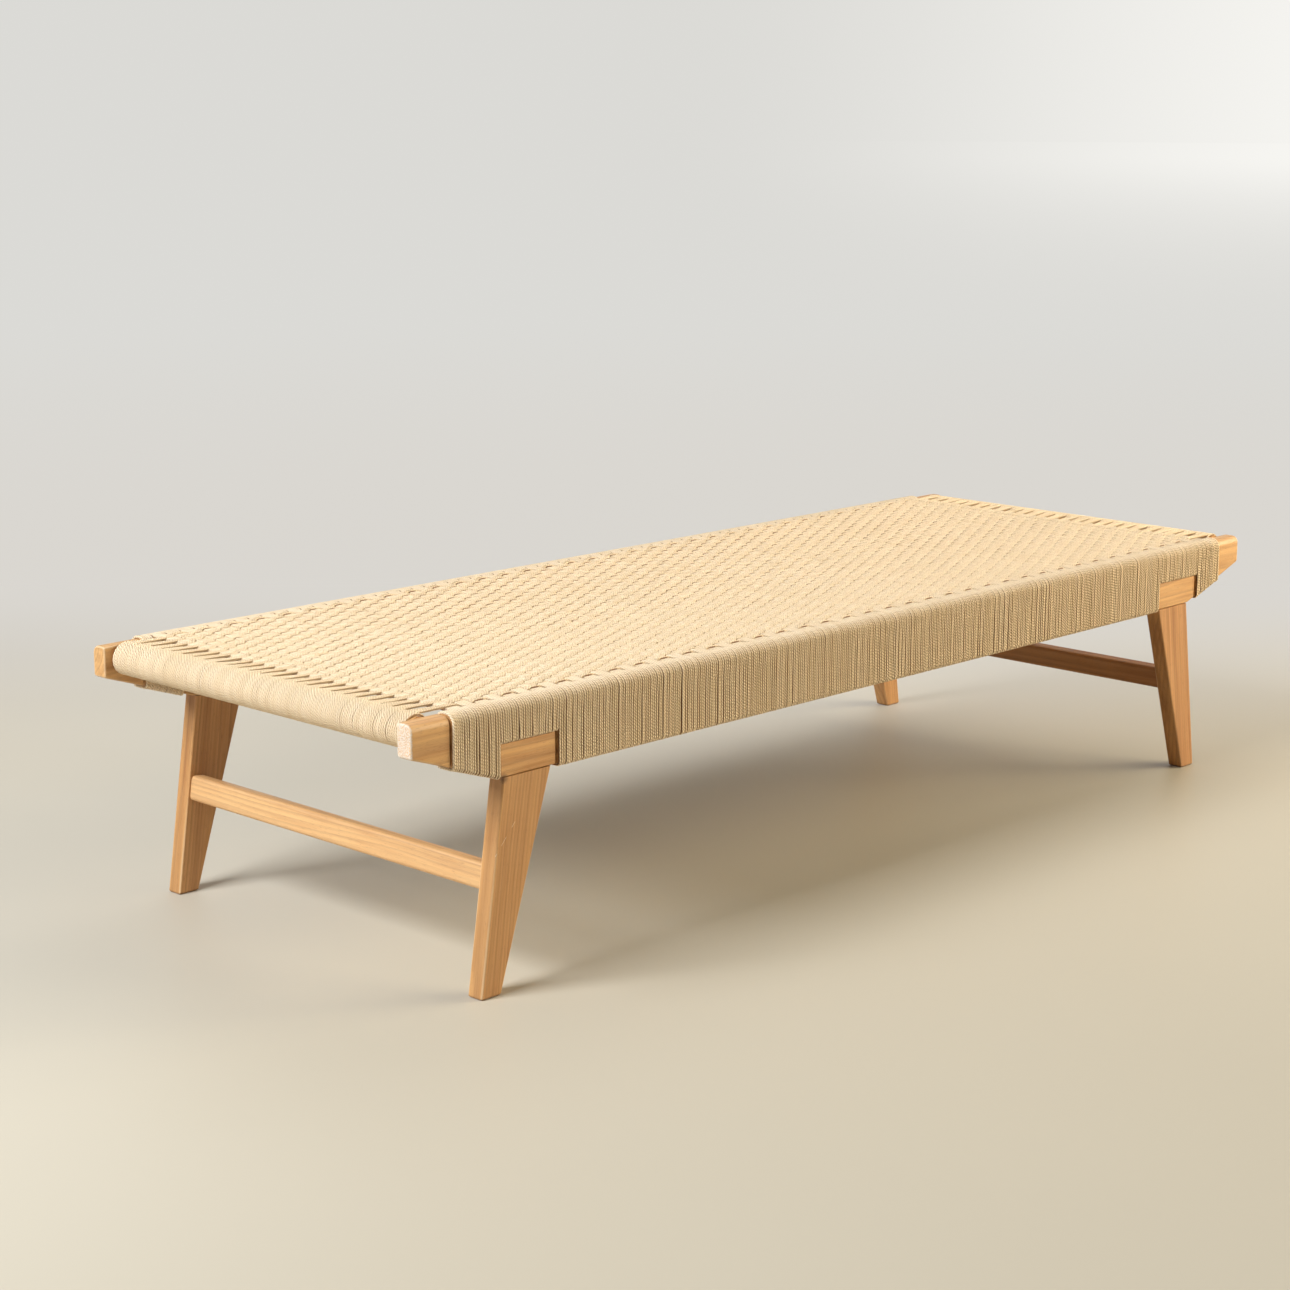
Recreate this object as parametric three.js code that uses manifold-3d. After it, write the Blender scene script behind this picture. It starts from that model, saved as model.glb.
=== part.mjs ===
// A long, low daybed: two deep side rails and two round end rails, wound and woven with paper cord,
// on four leaning legs that a stretcher joins in pairs. Lengths are in millimetres and angles in
// radians. +X runs along the bench, +Y across it and +Z up; the origin is on the floor under its middle.

import * as THREE from "three";
import { mergeVertices } from "three/addons/utils/BufferGeometryUtils.js";
import Module from "manifold-3d";

const wasm = await Module();
wasm.setup();

// The whole bench
const BENCH_LENGTH = 1900; // tip to tip of the side rails
const BENCH_WIDTH = 676; // over the bare wood of the side rails
const RAIL_TOP = 387.5; // height of the side rails' upper edge
const FIT = 0.3; // clearance between two pieces that touch
const OVERRUN = 2; // how far a cut runs past the wood
const EDGE_RADIUS = 3; // on every edge that has no radius of its own

// Side rails: boards on edge, whose underside rises towards bare tips, the horns
const RAIL_DEPTH = 96;
const RAIL_THICKNESS = 27;
const CREST_RADIUS = 11; // on the upper outer edge
const TAPER_LENGTH = 154; // from the tip to where the underside is level
const TIP_DEPTH = 44.5;
const HORN_LENGTH = 64;
const KERF_WIDTH = 3.5; // groove between bare wood and the winding
const KERF_DEPTH = 8;

// Blocks: the bare lower part of a side rail over each leg, under a slot that lets the cord through
const BLOCK_HEIGHT = 44;
const LEFT_BLOCK_OUTER = 4; // how far the left block runs past the leg's top, towards the tip
const LEFT_BLOCK_INNER = 7.5; // and towards the middle
const RIGHT_BLOCK_OUTER = 20;
const RIGHT_BLOCK_INNER = 1.5;

// Legs
const LEG_THICKNESS = 27;
const LEG_TOP_WIDTH = 85;
const LEG_FOOT_WIDTH = 35.3;
const LEG_SETBACK = 155.6; // from the rail's tip to the outer edge of the leg's top
const LEG_SPLAY = 43.2; // how much nearer the tip the foot's outer edge is
const FOOT_EASE = 2; // rounding round the sole
const LEG_TENON_WIDTH = 56;
const LEG_TENON_THICKNESS = 10;
const LEG_TENON_LENGTH = 30;

// Stretchers, leaning with the legs' outer edge
const STRETCHER_WIDTH = 26;
const STRETCHER_DEPTH = 37;
const STRETCHER_RADIUS = 6;
const STRETCHER_HEIGHT = 155; // of its middle
const STRETCHER_INSET = 4; // behind the legs' outer edge
const STRETCHER_TENON_WIDTH = 10;
const STRETCHER_TENON_DEPTH = 25;
const STRETCHER_TENON_LENGTH = 18;

// End rails: round poles between the horns
const POLE_DIAMETER = 41;
const POLE_INSET = 35; // from the tip to the pole's axis
const POLE_DROP = 19.5; // from the rail's upper edge to the axis
const POLE_TENON_DIAMETER = 24;
const POLE_TENON_LENGTH = 18;

// Paper cord: crosswise rows of four cords and lengthwise pairs, each row and each group of two pairs
// with two more turns that stay on the rail
const CORD_DIAMETER = 4;
const ROW_PITCH = 24.45; // six turns on a side rail
const ROW_SETBACK = 59.25; // from the pole's axis to the middle of the first row
const ROW_WIDTH = 16.3; // the four cords that cross the seat
const GROUP_PITCH = 24.56; // six turns on an end rail, two pairs on the seat
const PAIRS_IN_GROUP = 2;
const WEAVE_DEPTH = 8; // one cord over another
const WEAVE_RISE = 1.5; // top of the weave over the cord on the side rails
const WEAVE_RELIEF = 2.4; // how much lower a pair lies where it dives under a row
const ARCH_DEPTH = 3; // dip beside the rail where a row dives under the outermost pair
const SEAT_SAG = 17.5; // how far use has lowered the middle of the seat
const SAG_POWER_ALONG = 2.4; // how flat the sag's curve is in the middle, from pole to pole
const SAG_POWER_ACROSS = 2; // and from side rail to side rail
const UNDERSIDE_SPANS = 6; // facets of the underside, across the seat
const FINGER_CLEARANCE = 12; // from a row's edge to where the underside has risen to one cord
const SLIT_START = 4.8; // from the first row's edge to the end of a slit
const SLIT_WIDTH = 5;
const BAND_DEPTH = 0.7; // shallow furrows in the winding, where the turns pull tighter
const ROWS_IN_BAND = 2;
const GROUPS_IN_BAND = 2;

// Points on a quarter turn, and on a whole one
const CREST_STEPS = 4;
const EDGE_STEPS = 2;
const WINDING_CREST_STEPS = 2;
const TURN_STEPS = 12;

// Outline of a slit between two groups, from its closed end over the seat to the pole: a share of
// its length, then a share of half its width
const SLIT_OUTLINE_SHARES = [
  [0.2, 0.85],
  [0.55, 1],
  [1, 0.7],
];

// Sizes that follow
const HALF_LENGTH = BENCH_LENGTH / 2;
const OUTER_FACE = BENCH_WIDTH / 2; // of the side rails, legs and blocks
const INNER_FACE = OUTER_FACE - RAIL_THICKNESS;
const RAIL_BOTTOM = RAIL_TOP - RAIL_DEPTH;
const BLOCK_TOP = RAIL_BOTTOM + BLOCK_HEIGHT;
const SLOT_TOP = BLOCK_TOP + CORD_DIAMETER + 2 * FIT;
const TAPER_START = HALF_LENGTH - TAPER_LENGTH;
const TAPER_RISE = RAIL_DEPTH - TIP_DEPTH;
const LEG_TOP_OUTER = HALF_LENGTH - LEG_SETBACK;
const LEG_TOP_INNER = LEG_TOP_OUTER - LEG_TOP_WIDTH;
const LEG_FOOT_OUTER = LEG_TOP_OUTER + LEG_SPLAY;
const LEG_FOOT_INNER = LEG_FOOT_OUTER - LEG_FOOT_WIDTH;
const LEG_INNER_FACE = OUTER_FACE - LEG_THICKNESS;
const LEG_LEAN = Math.atan2(LEG_SPLAY, RAIL_BOTTOM);
const POLE_X = HALF_LENGTH - POLE_INSET;
const POLE_HEIGHT = RAIL_TOP - POLE_DROP;
const POLE_WINDING_RADIUS = POLE_DIAMETER / 2 + CORD_DIAMETER;
const WINDING_END = HALF_LENGTH - HORN_LENGTH - KERF_WIDTH; // where the side winding meets the horn
const SEAT_HALF_WIDTH = INNER_FACE - CORD_DIAMETER - FIT;
const FIRST_ROW = POLE_X - ROW_SETBACK;
const ROW_COUNT = Math.round((2 * FIRST_ROW) / ROW_PITCH) + 1;
const ROW_STEP = (2 * FIRST_ROW) / (ROW_COUNT - 1);
const GROUP_COUNT = Math.round((2 * SEAT_HALF_WIDTH) / GROUP_PITCH);
const GROUP_STEP = (2 * SEAT_HALF_WIDTH) / GROUP_COUNT;
const PAIR_COUNT = GROUP_COUNT * PAIRS_IN_GROUP;
const PAIR_STEP = GROUP_STEP / PAIRS_IN_GROUP;
const WEAVE_TOP = RAIL_TOP + CORD_DIAMETER + WEAVE_RISE;
const WEAVE_BOTTOM = WEAVE_TOP - WEAVE_DEPTH;
const BAND_STEP = ROW_STEP * ROWS_IN_BAND;

// The two blocks of one rail, as the ends of its bare lower part along the rail
const BLOCKS = [
  [-LEG_TOP_OUTER - LEFT_BLOCK_OUTER, -LEG_TOP_INNER + LEFT_BLOCK_INNER],
  [LEG_TOP_INNER - RIGHT_BLOCK_INNER, LEG_TOP_OUTER + RIGHT_BLOCK_OUTER],
];

const oiledWood = new THREE.MeshStandardMaterial({ color: 0xd39f63, roughness: 0.5, metalness: 0 });
const paperCord = new THREE.MeshStandardMaterial({ color: 0xe3c99a, roughness: 0.85, metalness: 0 });

// Rings: lists of points in a plane, all counterclockwise, which a loft joins into a body

// A rectangle with rounded corners. The corners go round from the low end of the second axis, first at
// the high end of the first axis; each has a radius and a number of steps.
function roundedRing([low1, high1], [low2, high2], corners) {
  const places = [
    [high1, low2, -1, 1],
    [high1, high2, -1, -1],
    [low1, high2, 1, -1],
    [low1, low2, 1, 1],
  ];
  const ring = [];
  places.forEach(([corner1, corner2, inward1, inward2], index) => {
    const { radius, steps } = corners[index];
    const centre1 = corner1 + inward1 * radius;
    const centre2 = corner2 + inward2 * radius;
    const start = ((index - 1) * Math.PI) / 2;
    for (let step = 0; step <= steps; step++) {
      if (!steps) {
        ring.push([corner1, corner2]);
        continue;
      }
      const angle = start + ((Math.PI / 2) * step) / steps;
      ring.push([centre1 + radius * Math.cos(angle), centre2 + radius * Math.sin(angle)]);
    }
  });
  return ring;
}

// The same corner four times
function evenCorners(radius, steps) {
  return Array.from({ length: 4 }, () => ({ radius, steps }));
}

// A circle whose first point lies on the first axis
function roundRing(radius, [centre1, centre2] = [0, 0]) {
  return Array.from({ length: TURN_STEPS }, (_, step) => {
    const angle = (2 * Math.PI * step) / TURN_STEPS;
    return [centre1 + radius * Math.cos(angle), centre2 + radius * Math.sin(angle)];
  });
}

// The radius of a faceted bore that clears a faceted shaft all round
function boreRadius(shaftRadius, clearance) {
  return shaftRadius + clearance / Math.cos(Math.PI / TURN_STEPS);
}

// A body through rings, each given as a place along the axis and its ring. A ring on X holds (y, z)
// points, on Y (z, x) points and on Z (x, y) points. A hollow body's rings go out and come back.
function loft(axis, stations, hollow = false) {
  const axisIndex = "xyz".indexOf(axis);
  const count = stations[0][1].length;
  const positions = [];
  for (const [place, ring] of stations) {
    for (const [first, second] of ring) {
      const point = [0, 0, 0];
      point[axisIndex] = place;
      point[(axisIndex + 1) % 3] = first;
      point[(axisIndex + 2) % 3] = second;
      positions.push(...point);
    }
  }
  const index = [];
  const bands = hollow ? stations.length : stations.length - 1;
  for (let band = 0; band < bands; band++) {
    const here = band * count;
    const there = ((band + 1) % stations.length) * count;
    for (let side = 0; side < count; side++) {
      const next = (side + 1) % count;
      index.push(here + side, here + next, there + side);
      index.push(here + next, there + next, there + side);
    }
  }
  if (!hollow) {
    const last = (stations.length - 1) * count;
    for (let side = 1; side < count - 1; side++) {
      index.push(0, side + 1, side);
      index.push(last, last + side, last + side + 1);
    }
  }
  const geometry = new THREE.BufferGeometry();
  geometry.setAttribute("position", new THREE.Float32BufferAttribute(positions, 3));
  geometry.setIndex(index);
  return geometry;
}

// A box between two corners
function boxBetween([x0, y0, z0], [x1, y1, z1]) {
  const box = new THREE.BoxGeometry(x1 - x0, y1 - y0, z1 - z0);
  return box.translate((x0 + x1) / 2, (y0 + y1) / 2, (z0 + z1) / 2);
}

// A geometry turned over along X, along Y or both, with its faces still outwards
function mirrored(geometry, alongX, alongY) {
  const copy = geometry.clone().scale(alongX, alongY, 1);
  if (alongX * alongY < 0) {
    const { array } = copy.index;
    for (let corner = 0; corner < array.length; corner += 3) {
      [array[corner + 1], array[corner + 2]] = [array[corner + 2], array[corner + 1]];
    }
  }
  return copy;
}

// A geometry as a solid that can be cut, and back
function solidOf(geometry) {
  const bare = new THREE.BufferGeometry();
  bare.setAttribute("position", geometry.getAttribute("position"));
  bare.setIndex(geometry.index);
  const merged = mergeVertices(bare);
  const vertProperties = merged.getAttribute("position").array;
  const triVerts = new Uint32Array(merged.index.array);
  return new wasm.Manifold(new wasm.Mesh({ numProp: 3, vertProperties, triVerts }));
}

function geometryOf(solid) {
  const { vertProperties, triVerts } = solid.getMesh();
  const geometry = new THREE.BufferGeometry();
  geometry.setAttribute("position", new THREE.BufferAttribute(vertProperties, 3));
  geometry.setIndex(new THREE.BufferAttribute(triVerts, 1));
  return geometry;
}

function cut(geometry, cutters) {
  return geometryOf(cutters.reduce((body, cutter) => body.subtract(solidOf(cutter)), solidOf(geometry)));
}

// A named piece with flat facets
function piece(name, geometry, material) {
  const faceted = geometry.index ? geometry.toNonIndexed() : geometry;
  faceted.computeVertexNormals();
  const mesh = new THREE.Mesh(faceted, material);
  mesh.name = name;
  return mesh;
}

// Side rail

// Underside of the rail's outline at a place along it
function railBottom(x) {
  const past = Math.max(0, Math.abs(x) - TAPER_START);
  return RAIL_BOTTOM + (TAPER_RISE * past) / TAPER_LENGTH;
}

// The rail's section, drawn in by an inset all round
function railRing(x, inset) {
  const edge = { radius: EDGE_RADIUS - inset / EDGE_STEPS, steps: EDGE_STEPS };
  const crest = { radius: CREST_RADIUS - inset, steps: CREST_STEPS };
  return roundedRing(
    [-OUTER_FACE + inset, -INNER_FACE - inset],
    [railBottom(x) + inset, RAIL_TOP - inset],
    [edge, edge, crest, edge],
  );
}

// Stations of the rounded tip, from the end face inwards, as a distance from the tip and an inset
function tipStations() {
  return Array.from({ length: EDGE_STEPS + 1 }, (_, step) => {
    const angle = ((Math.PI / 2) * step) / EDGE_STEPS;
    return [EDGE_RADIUS * (1 - Math.sin(angle)), EDGE_RADIUS * (1 - Math.cos(angle))];
  }).reverse();
}

// A groove round the rail between two places along it, below a height
function kerf(x0, x1, top) {
  const low = RAIL_BOTTOM - OVERRUN;
  const around = boxBetween([x0, -OUTER_FACE - OVERRUN, low], [x1, -INNER_FACE + OVERRUN, top]);
  const core = boxBetween(
    [x0 - OVERRUN, -OUTER_FACE + KERF_DEPTH, Math.min(railBottom(x0), railBottom(x1)) + KERF_DEPTH],
    [x1 + OVERRUN, -INNER_FACE - KERF_DEPTH, Math.min(top + OVERRUN, RAIL_TOP - KERF_DEPTH)],
  );
  return cut(around, [core]);
}

// The slot over a block and the kerfs at its ends
function blockCutters([x0, x1]) {
  const slot = boxBetween(
    [x0 - KERF_WIDTH, -OUTER_FACE - OVERRUN, BLOCK_TOP],
    [x1 + KERF_WIDTH, -INNER_FACE + OVERRUN, SLOT_TOP],
  );
  return [slot, kerf(x0 - KERF_WIDTH, x0, BLOCK_TOP), kerf(x1, x1 + KERF_WIDTH, BLOCK_TOP)];
}

// Where a leg's tenon stands, as its middle and half its width along the rail
const TENON_MIDDLE = LEG_TOP_OUTER - LEG_TOP_WIDTH / 2;

function legMortise(end) {
  const half = LEG_TENON_WIDTH / 2 + FIT;
  const middle = end * TENON_MIDDLE;
  const centreY = -OUTER_FACE + LEG_THICKNESS / 2;
  const halfThickness = LEG_TENON_THICKNESS / 2 + FIT;
  return boxBetween(
    [middle - half, centreY - halfThickness, RAIL_BOTTOM - OVERRUN],
    [middle + half, centreY + halfThickness, RAIL_BOTTOM + LEG_TENON_LENGTH + FIT],
  );
}

function poleBore(end) {
  const ring = roundRing(boreRadius(POLE_TENON_DIAMETER / 2, FIT), [POLE_HEIGHT, end * POLE_X]);
  const depth = -INNER_FACE - POLE_TENON_LENGTH - FIT;
  return loft("y", [
    [depth, ring],
    [-INNER_FACE + OVERRUN, ring],
  ]);
}

function sideRail() {
  const left = tipStations().map(([back, inset]) => [back - HALF_LENGTH, inset]);
  const right = left.map(([x, inset]) => [-x, inset]).reverse();
  const places = [...left, [-TAPER_START, 0], [TAPER_START, 0], ...right];
  const board = loft("x", places.map(([x, inset]) => [x, railRing(x, inset)]));
  const hornKerf = HALF_LENGTH - HORN_LENGTH;
  return cut(board, [
    ...BLOCKS.flatMap(blockCutters),
    kerf(-hornKerf, -WINDING_END, RAIL_TOP + OVERRUN),
    kerf(WINDING_END, hornKerf, RAIL_TOP + OVERRUN),
    ...[-1, 1].flatMap((end) => [legMortise(end), poleBore(end)]),
  ]);
}

// Winding on a side rail

// How deep the furrows are at a place along the rail: none on every second row, deepest between
function furrow(x) {
  return (BAND_DEPTH * (1 - Math.cos((2 * Math.PI * (x - FIRST_ROW)) / BAND_STEP))) / 2;
}

// The winding's section: the cord's outside, or the bore that clears the wood
function windingRing(x, bottom, offset, corner, crest) {
  const sharp = { radius: 0, steps: 0 };
  return roundedRing(
    [-OUTER_FACE - offset, -INNER_FACE + offset],
    [bottom - offset, RAIL_TOP + offset],
    [sharp, sharp, { radius: crest, steps: WINDING_CREST_STEPS }, { radius: corner, steps: 1 }],
  );
}

// A sleeve of cord between two places along the rail, round its whole depth or round the strip over
// a block
function winding(x0, x1, overBlock) {
  const bottomAt = (x) => (overBlock ? SLOT_TOP : railBottom(x));
  const boreEdge = overBlock ? FIT : EDGE_RADIUS / 2;
  const inside = (x) => windingRing(x, bottomAt(x), FIT, boreEdge, CREST_RADIUS - EDGE_RADIUS / 2);
  const outside = (x) => {
    const offset = CORD_DIAMETER - furrow(x);
    return windingRing(x, bottomAt(x), offset, EDGE_RADIUS + offset, CREST_RADIUS + offset);
  };
  const halfBand = BAND_STEP / 2;
  const first = Math.floor((x0 - FIRST_ROW) / halfBand + 1);
  const places = [x0];
  for (let step = first; FIRST_ROW + step * halfBand < x1; step++) {
    places.push(FIRST_ROW + step * halfBand);
  }
  places.push(x1);
  const out = places.map((x) => [x, outside(x)]);
  const back = [x1, x0].map((x) => [x, inside(x)]);
  return loft("x", [...out, ...back], true);
}

// End rail and its winding
function poleRing(radius, end) {
  return roundRing(radius, [POLE_HEIGHT, end * POLE_X]);
}

function endRail(end) {
  const shoulder = INNER_FACE - FIT;
  const tenonEnd = INNER_FACE + POLE_TENON_LENGTH;
  const tenon = poleRing(POLE_TENON_DIAMETER / 2, end);
  const pole = poleRing(POLE_DIAMETER / 2, end);
  return loft("y", [
    [-tenonEnd, tenon],
    [-shoulder, tenon],
    [-shoulder, pole],
    [shoulder, pole],
    [shoulder, tenon],
    [tenonEnd, tenon],
  ]);
}

function endWinding(end) {
  const reach = INNER_FACE - FIT;
  const bore = poleRing(boreRadius(POLE_DIAMETER / 2, FIT), end);
  const crest = poleRing(POLE_WINDING_RADIUS, end);
  const trough = poleRing(POLE_WINDING_RADIUS - BAND_DEPTH, end);
  const stations = [[-reach, trough]];
  for (let group = 1; group < GROUP_COUNT; group++) {
    const place = group * GROUP_STEP - SEAT_HALF_WIDTH;
    stations.push([place, group % GROUPS_IN_BAND ? crest : trough]);
  }
  stations.push([reach, trough], [reach, bore], [-reach, bore]);
  return loft("y", stations, true);
}

// Legs

// The leg's outer and inner edge at a height, as distances from the bench's middle
function legSpan(height, inset = 0) {
  const share = height / RAIL_BOTTOM;
  const outer = LEG_FOOT_OUTER + (LEG_TOP_OUTER - LEG_FOOT_OUTER) * share;
  const inner = LEG_FOOT_INNER + (LEG_TOP_INNER - LEG_FOOT_INNER) * share;
  return [inner + inset, outer - inset];
}

// The stretcher's middle, behind the leg's outer edge at its height
const STRETCHER_X = legSpan(STRETCHER_HEIGHT)[1] - STRETCHER_INSET - STRETCHER_WIDTH / 2;

// A body that lies along Y and leans with the legs, moved to the stretcher's middle
function atStretcher(geometry) {
  return geometry.rotateY(-LEG_LEAN).translate(STRETCHER_X, 0, STRETCHER_HEIGHT);
}

function stretcherMortise() {
  const half1 = STRETCHER_TENON_WIDTH / 2 + FIT;
  const half2 = STRETCHER_TENON_DEPTH / 2 + FIT;
  const depth = LEG_INNER_FACE + STRETCHER_TENON_LENGTH + FIT;
  return atStretcher(boxBetween([-half1, -depth, -half2], [half1, OVERRUN - LEG_INNER_FACE, half2]));
}

// The right-hand front leg
function leg() {
  const corners = evenCorners(EDGE_RADIUS, EDGE_STEPS);
  const ring = (height, inset) => {
    const depth = [-OUTER_FACE + inset, -LEG_INNER_FACE - inset];
    return roundedRing(legSpan(height, inset), depth, corners);
  };
  const shoulder = RAIL_BOTTOM - FIT;
  const centreY = -OUTER_FACE + LEG_THICKNESS / 2;
  const tenonWidth = [TENON_MIDDLE - LEG_TENON_WIDTH / 2, TENON_MIDDLE + LEG_TENON_WIDTH / 2];
  const tenonThickness = [centreY - LEG_TENON_THICKNESS / 2, centreY + LEG_TENON_THICKNESS / 2];
  const tenon = roundedRing(tenonWidth, tenonThickness, corners);
  const body = loft("z", [
    [0, ring(0, FOOT_EASE)],
    [FOOT_EASE, ring(FOOT_EASE, 0)],
    [shoulder, ring(shoulder, 0)],
    [shoulder, tenon],
    [RAIL_BOTTOM + LEG_TENON_LENGTH, tenon],
  ]);
  return cut(body, [stretcherMortise()]);
}

// The right-hand stretcher
function stretcher() {
  const section = (width, depth, radius) =>
    roundedRing([-depth / 2, depth / 2], [-width / 2, width / 2], evenCorners(radius, EDGE_STEPS));
  const shoulder = LEG_INNER_FACE - FIT;
  const tenonEnd = LEG_INNER_FACE + STRETCHER_TENON_LENGTH;
  const beam = section(STRETCHER_WIDTH, STRETCHER_DEPTH, STRETCHER_RADIUS);
  const tenon = section(STRETCHER_TENON_WIDTH, STRETCHER_TENON_DEPTH, EDGE_RADIUS);
  return atStretcher(
    loft("y", [
      [-tenonEnd, tenon],
      [-shoulder, tenon],
      [-shoulder, beam],
      [shoulder, beam],
      [shoulder, tenon],
      [tenonEnd, tenon],
    ]),
  );
}

// Woven seat

// The top of the weave at each row and pair: high where the pair passes over the row, low where it
// dives under. Beside the side rails it follows the cord that comes off them.
function weaveTop(row, pair) {
  const pairOver = (row + pair) % 2 === 0;
  return pairOver ? WEAVE_TOP : WEAVE_TOP - WEAVE_RELIEF;
}

function edgeTop(row, pair) {
  const level = RAIL_TOP + CORD_DIAMETER;
  return (row + pair) % 2 === 0 ? level - ARCH_DEPTH : level;
}

// How much lower the seat lies than its rim
function sag(x, y) {
  const along = 1 - Math.abs(x / POLE_X) ** SAG_POWER_ALONG;
  const across = 1 - Math.abs(y / SEAT_HALF_WIDTH) ** SAG_POWER_ACROSS;
  return SEAT_SAG * along * across;
}

// The stations along the seat: the pole's axis, the free fingers, each row, and back again. Each has
// its place, the heights of its top at the two edges and over each pair, and its underside, all
// without the sag.
function seatStations() {
  const pairs = Array.from({ length: PAIR_COUNT }, (_, pair) => pair);
  const flat = (x, top, bottom) => ({ x, tops: [top, ...pairs.map(() => top), top], bottom });
  const fingerTop = POLE_HEIGHT + POLE_WINDING_RADIUS;
  const rowEdge = FIRST_ROW + ROW_WIDTH / 2;
  const fingers = (end) => [
    flat(end * POLE_X, fingerTop, fingerTop - CORD_DIAMETER),
    flat(end * (rowEdge + FINGER_CLEARANCE), fingerTop, fingerTop - CORD_DIAMETER),
    flat(end * rowEdge, fingerTop, WEAVE_BOTTOM),
  ];
  const rows = Array.from({ length: ROW_COUNT }, (_, row) => ({
    x: row * ROW_STEP - FIRST_ROW,
    tops: [edgeTop(row, 0), ...pairs.map((pair) => weaveTop(row, pair)), edgeTop(row, PAIR_COUNT - 1)],
    bottom: WEAVE_BOTTOM,
  }));
  return [...fingers(-1), ...rows, ...fingers(1).reverse()];
}

// The places across the seat: one edge, the middle of each pair, the other edge
function seatColumns() {
  const middles = Array.from({ length: PAIR_COUNT }, (_, pair) => (pair + 1 / 2) * PAIR_STEP);
  return [0, ...middles, 2 * SEAT_HALF_WIDTH].map((y) => y - SEAT_HALF_WIDTH);
}

// The fewer places across its underside
function undersideColumns() {
  const step = (2 * SEAT_HALF_WIDTH) / UNDERSIDE_SPANS;
  return Array.from({ length: UNDERSIDE_SPANS + 1 }, (_, column) => column * step - SEAT_HALF_WIDTH);
}

// The sheet before its slits: a relief on top, walls, and a plain underside
function seatSheet() {
  const stations = seatStations();
  const columns = seatColumns();
  const lowColumns = undersideColumns();
  const width = columns.length;
  const lowWidth = lowColumns.length;
  const positions = [];
  for (const { x, tops } of stations) {
    columns.forEach((y, column) => positions.push(x, y, tops[column] - sag(x, y)));
  }
  const under = stations.length * width;
  for (const { x, bottom } of stations) {
    lowColumns.forEach((y) => positions.push(x, y, bottom - sag(x, y)));
  }
  const index = [];
  for (let row = 0; row < stations.length - 1; row++) {
    for (let column = 0; column < width - 1; column++) {
      const near = row * width + column;
      const far = near + width;
      const sum = positions[3 * near + 2] + positions[3 * (far + 1) + 2];
      const other = positions[3 * far + 2] + positions[3 * (near + 1) + 2];
      if (sum < other) {
        index.push(near, far, far + 1, near, far + 1, near + 1);
      } else {
        index.push(near, far, near + 1, near + 1, far, far + 1);
      }
    }
    const low = under + row * lowWidth;
    for (let near = low; near < low + lowWidth - 1; near++) {
      const far = near + lowWidth;
      index.push(near, near + 1, far, near + 1, far + 1, far);
    }
    const lowRight = low + lowWidth - 1;
    const topLeft = row * width;
    const topRight = topLeft + width - 1;
    index.push(low, low + lowWidth, topLeft, topLeft, low + lowWidth, topLeft + width);
    index.push(lowRight, topRight, lowRight + lowWidth, topRight, topRight + width, lowRight + lowWidth);
  }
  const last = stations.length - 1;
  const endWalls = [
    [0, under, false],
    [last * width, under + last * lowWidth, true],
  ];
  for (const [top, low, flip] of endWalls) {
    const topRight = top + width - 1;
    for (let near = top; near < topRight; near++) {
      index.push(low, ...(flip ? [near + 1, near] : [near, near + 1]));
    }
    for (let near = low; near < low + lowWidth - 1; near++) {
      index.push(topRight, ...(flip ? [near, near + 1] : [near + 1, near]));
    }
  }
  const sheet = new THREE.BufferGeometry();
  sheet.setAttribute("position", new THREE.Float32BufferAttribute(positions, 3));
  sheet.setIndex(index);
  return sheet;
}

// One slit at the right-hand end, between two groups or beside a side rail
function slit(y) {
  const start = FIRST_ROW + ROW_WIDTH / 2 + SLIT_START;
  const length = POLE_X + OVERRUN - start;
  const side = (sign) =>
    SLIT_OUTLINE_SHARES.map(([along, across]) => [
      start + along * length,
      y + (sign * across * SLIT_WIDTH) / 2,
    ]);
  const ring = [[start, y], ...side(-1), ...side(1).reverse()];
  return loft("z", [
    [WEAVE_BOTTOM - SEAT_SAG - OVERRUN, ring],
    [WEAVE_TOP + OVERRUN, ring],
  ]);
}

// The space that a pole's winding needs under the ends of the fingers
function poleClearance(end) {
  const ring = poleRing(boreRadius(POLE_WINDING_RADIUS, FIT), end);
  return loft("y", [
    [-INNER_FACE, ring],
    [INNER_FACE, ring],
  ]);
}

function wovenSeat() {
  const places = Array.from({ length: GROUP_COUNT + 1 }, (_, k) => k * GROUP_STEP - SEAT_HALF_WIDTH);
  const slits = places.flatMap((y) => [slit(y), mirrored(slit(y), -1, 1)]);
  return cut(seatSheet(), [...slits, poleClearance(-1), poleClearance(1)]);
}

// Assembly

const bench = new THREE.Group();

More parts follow.
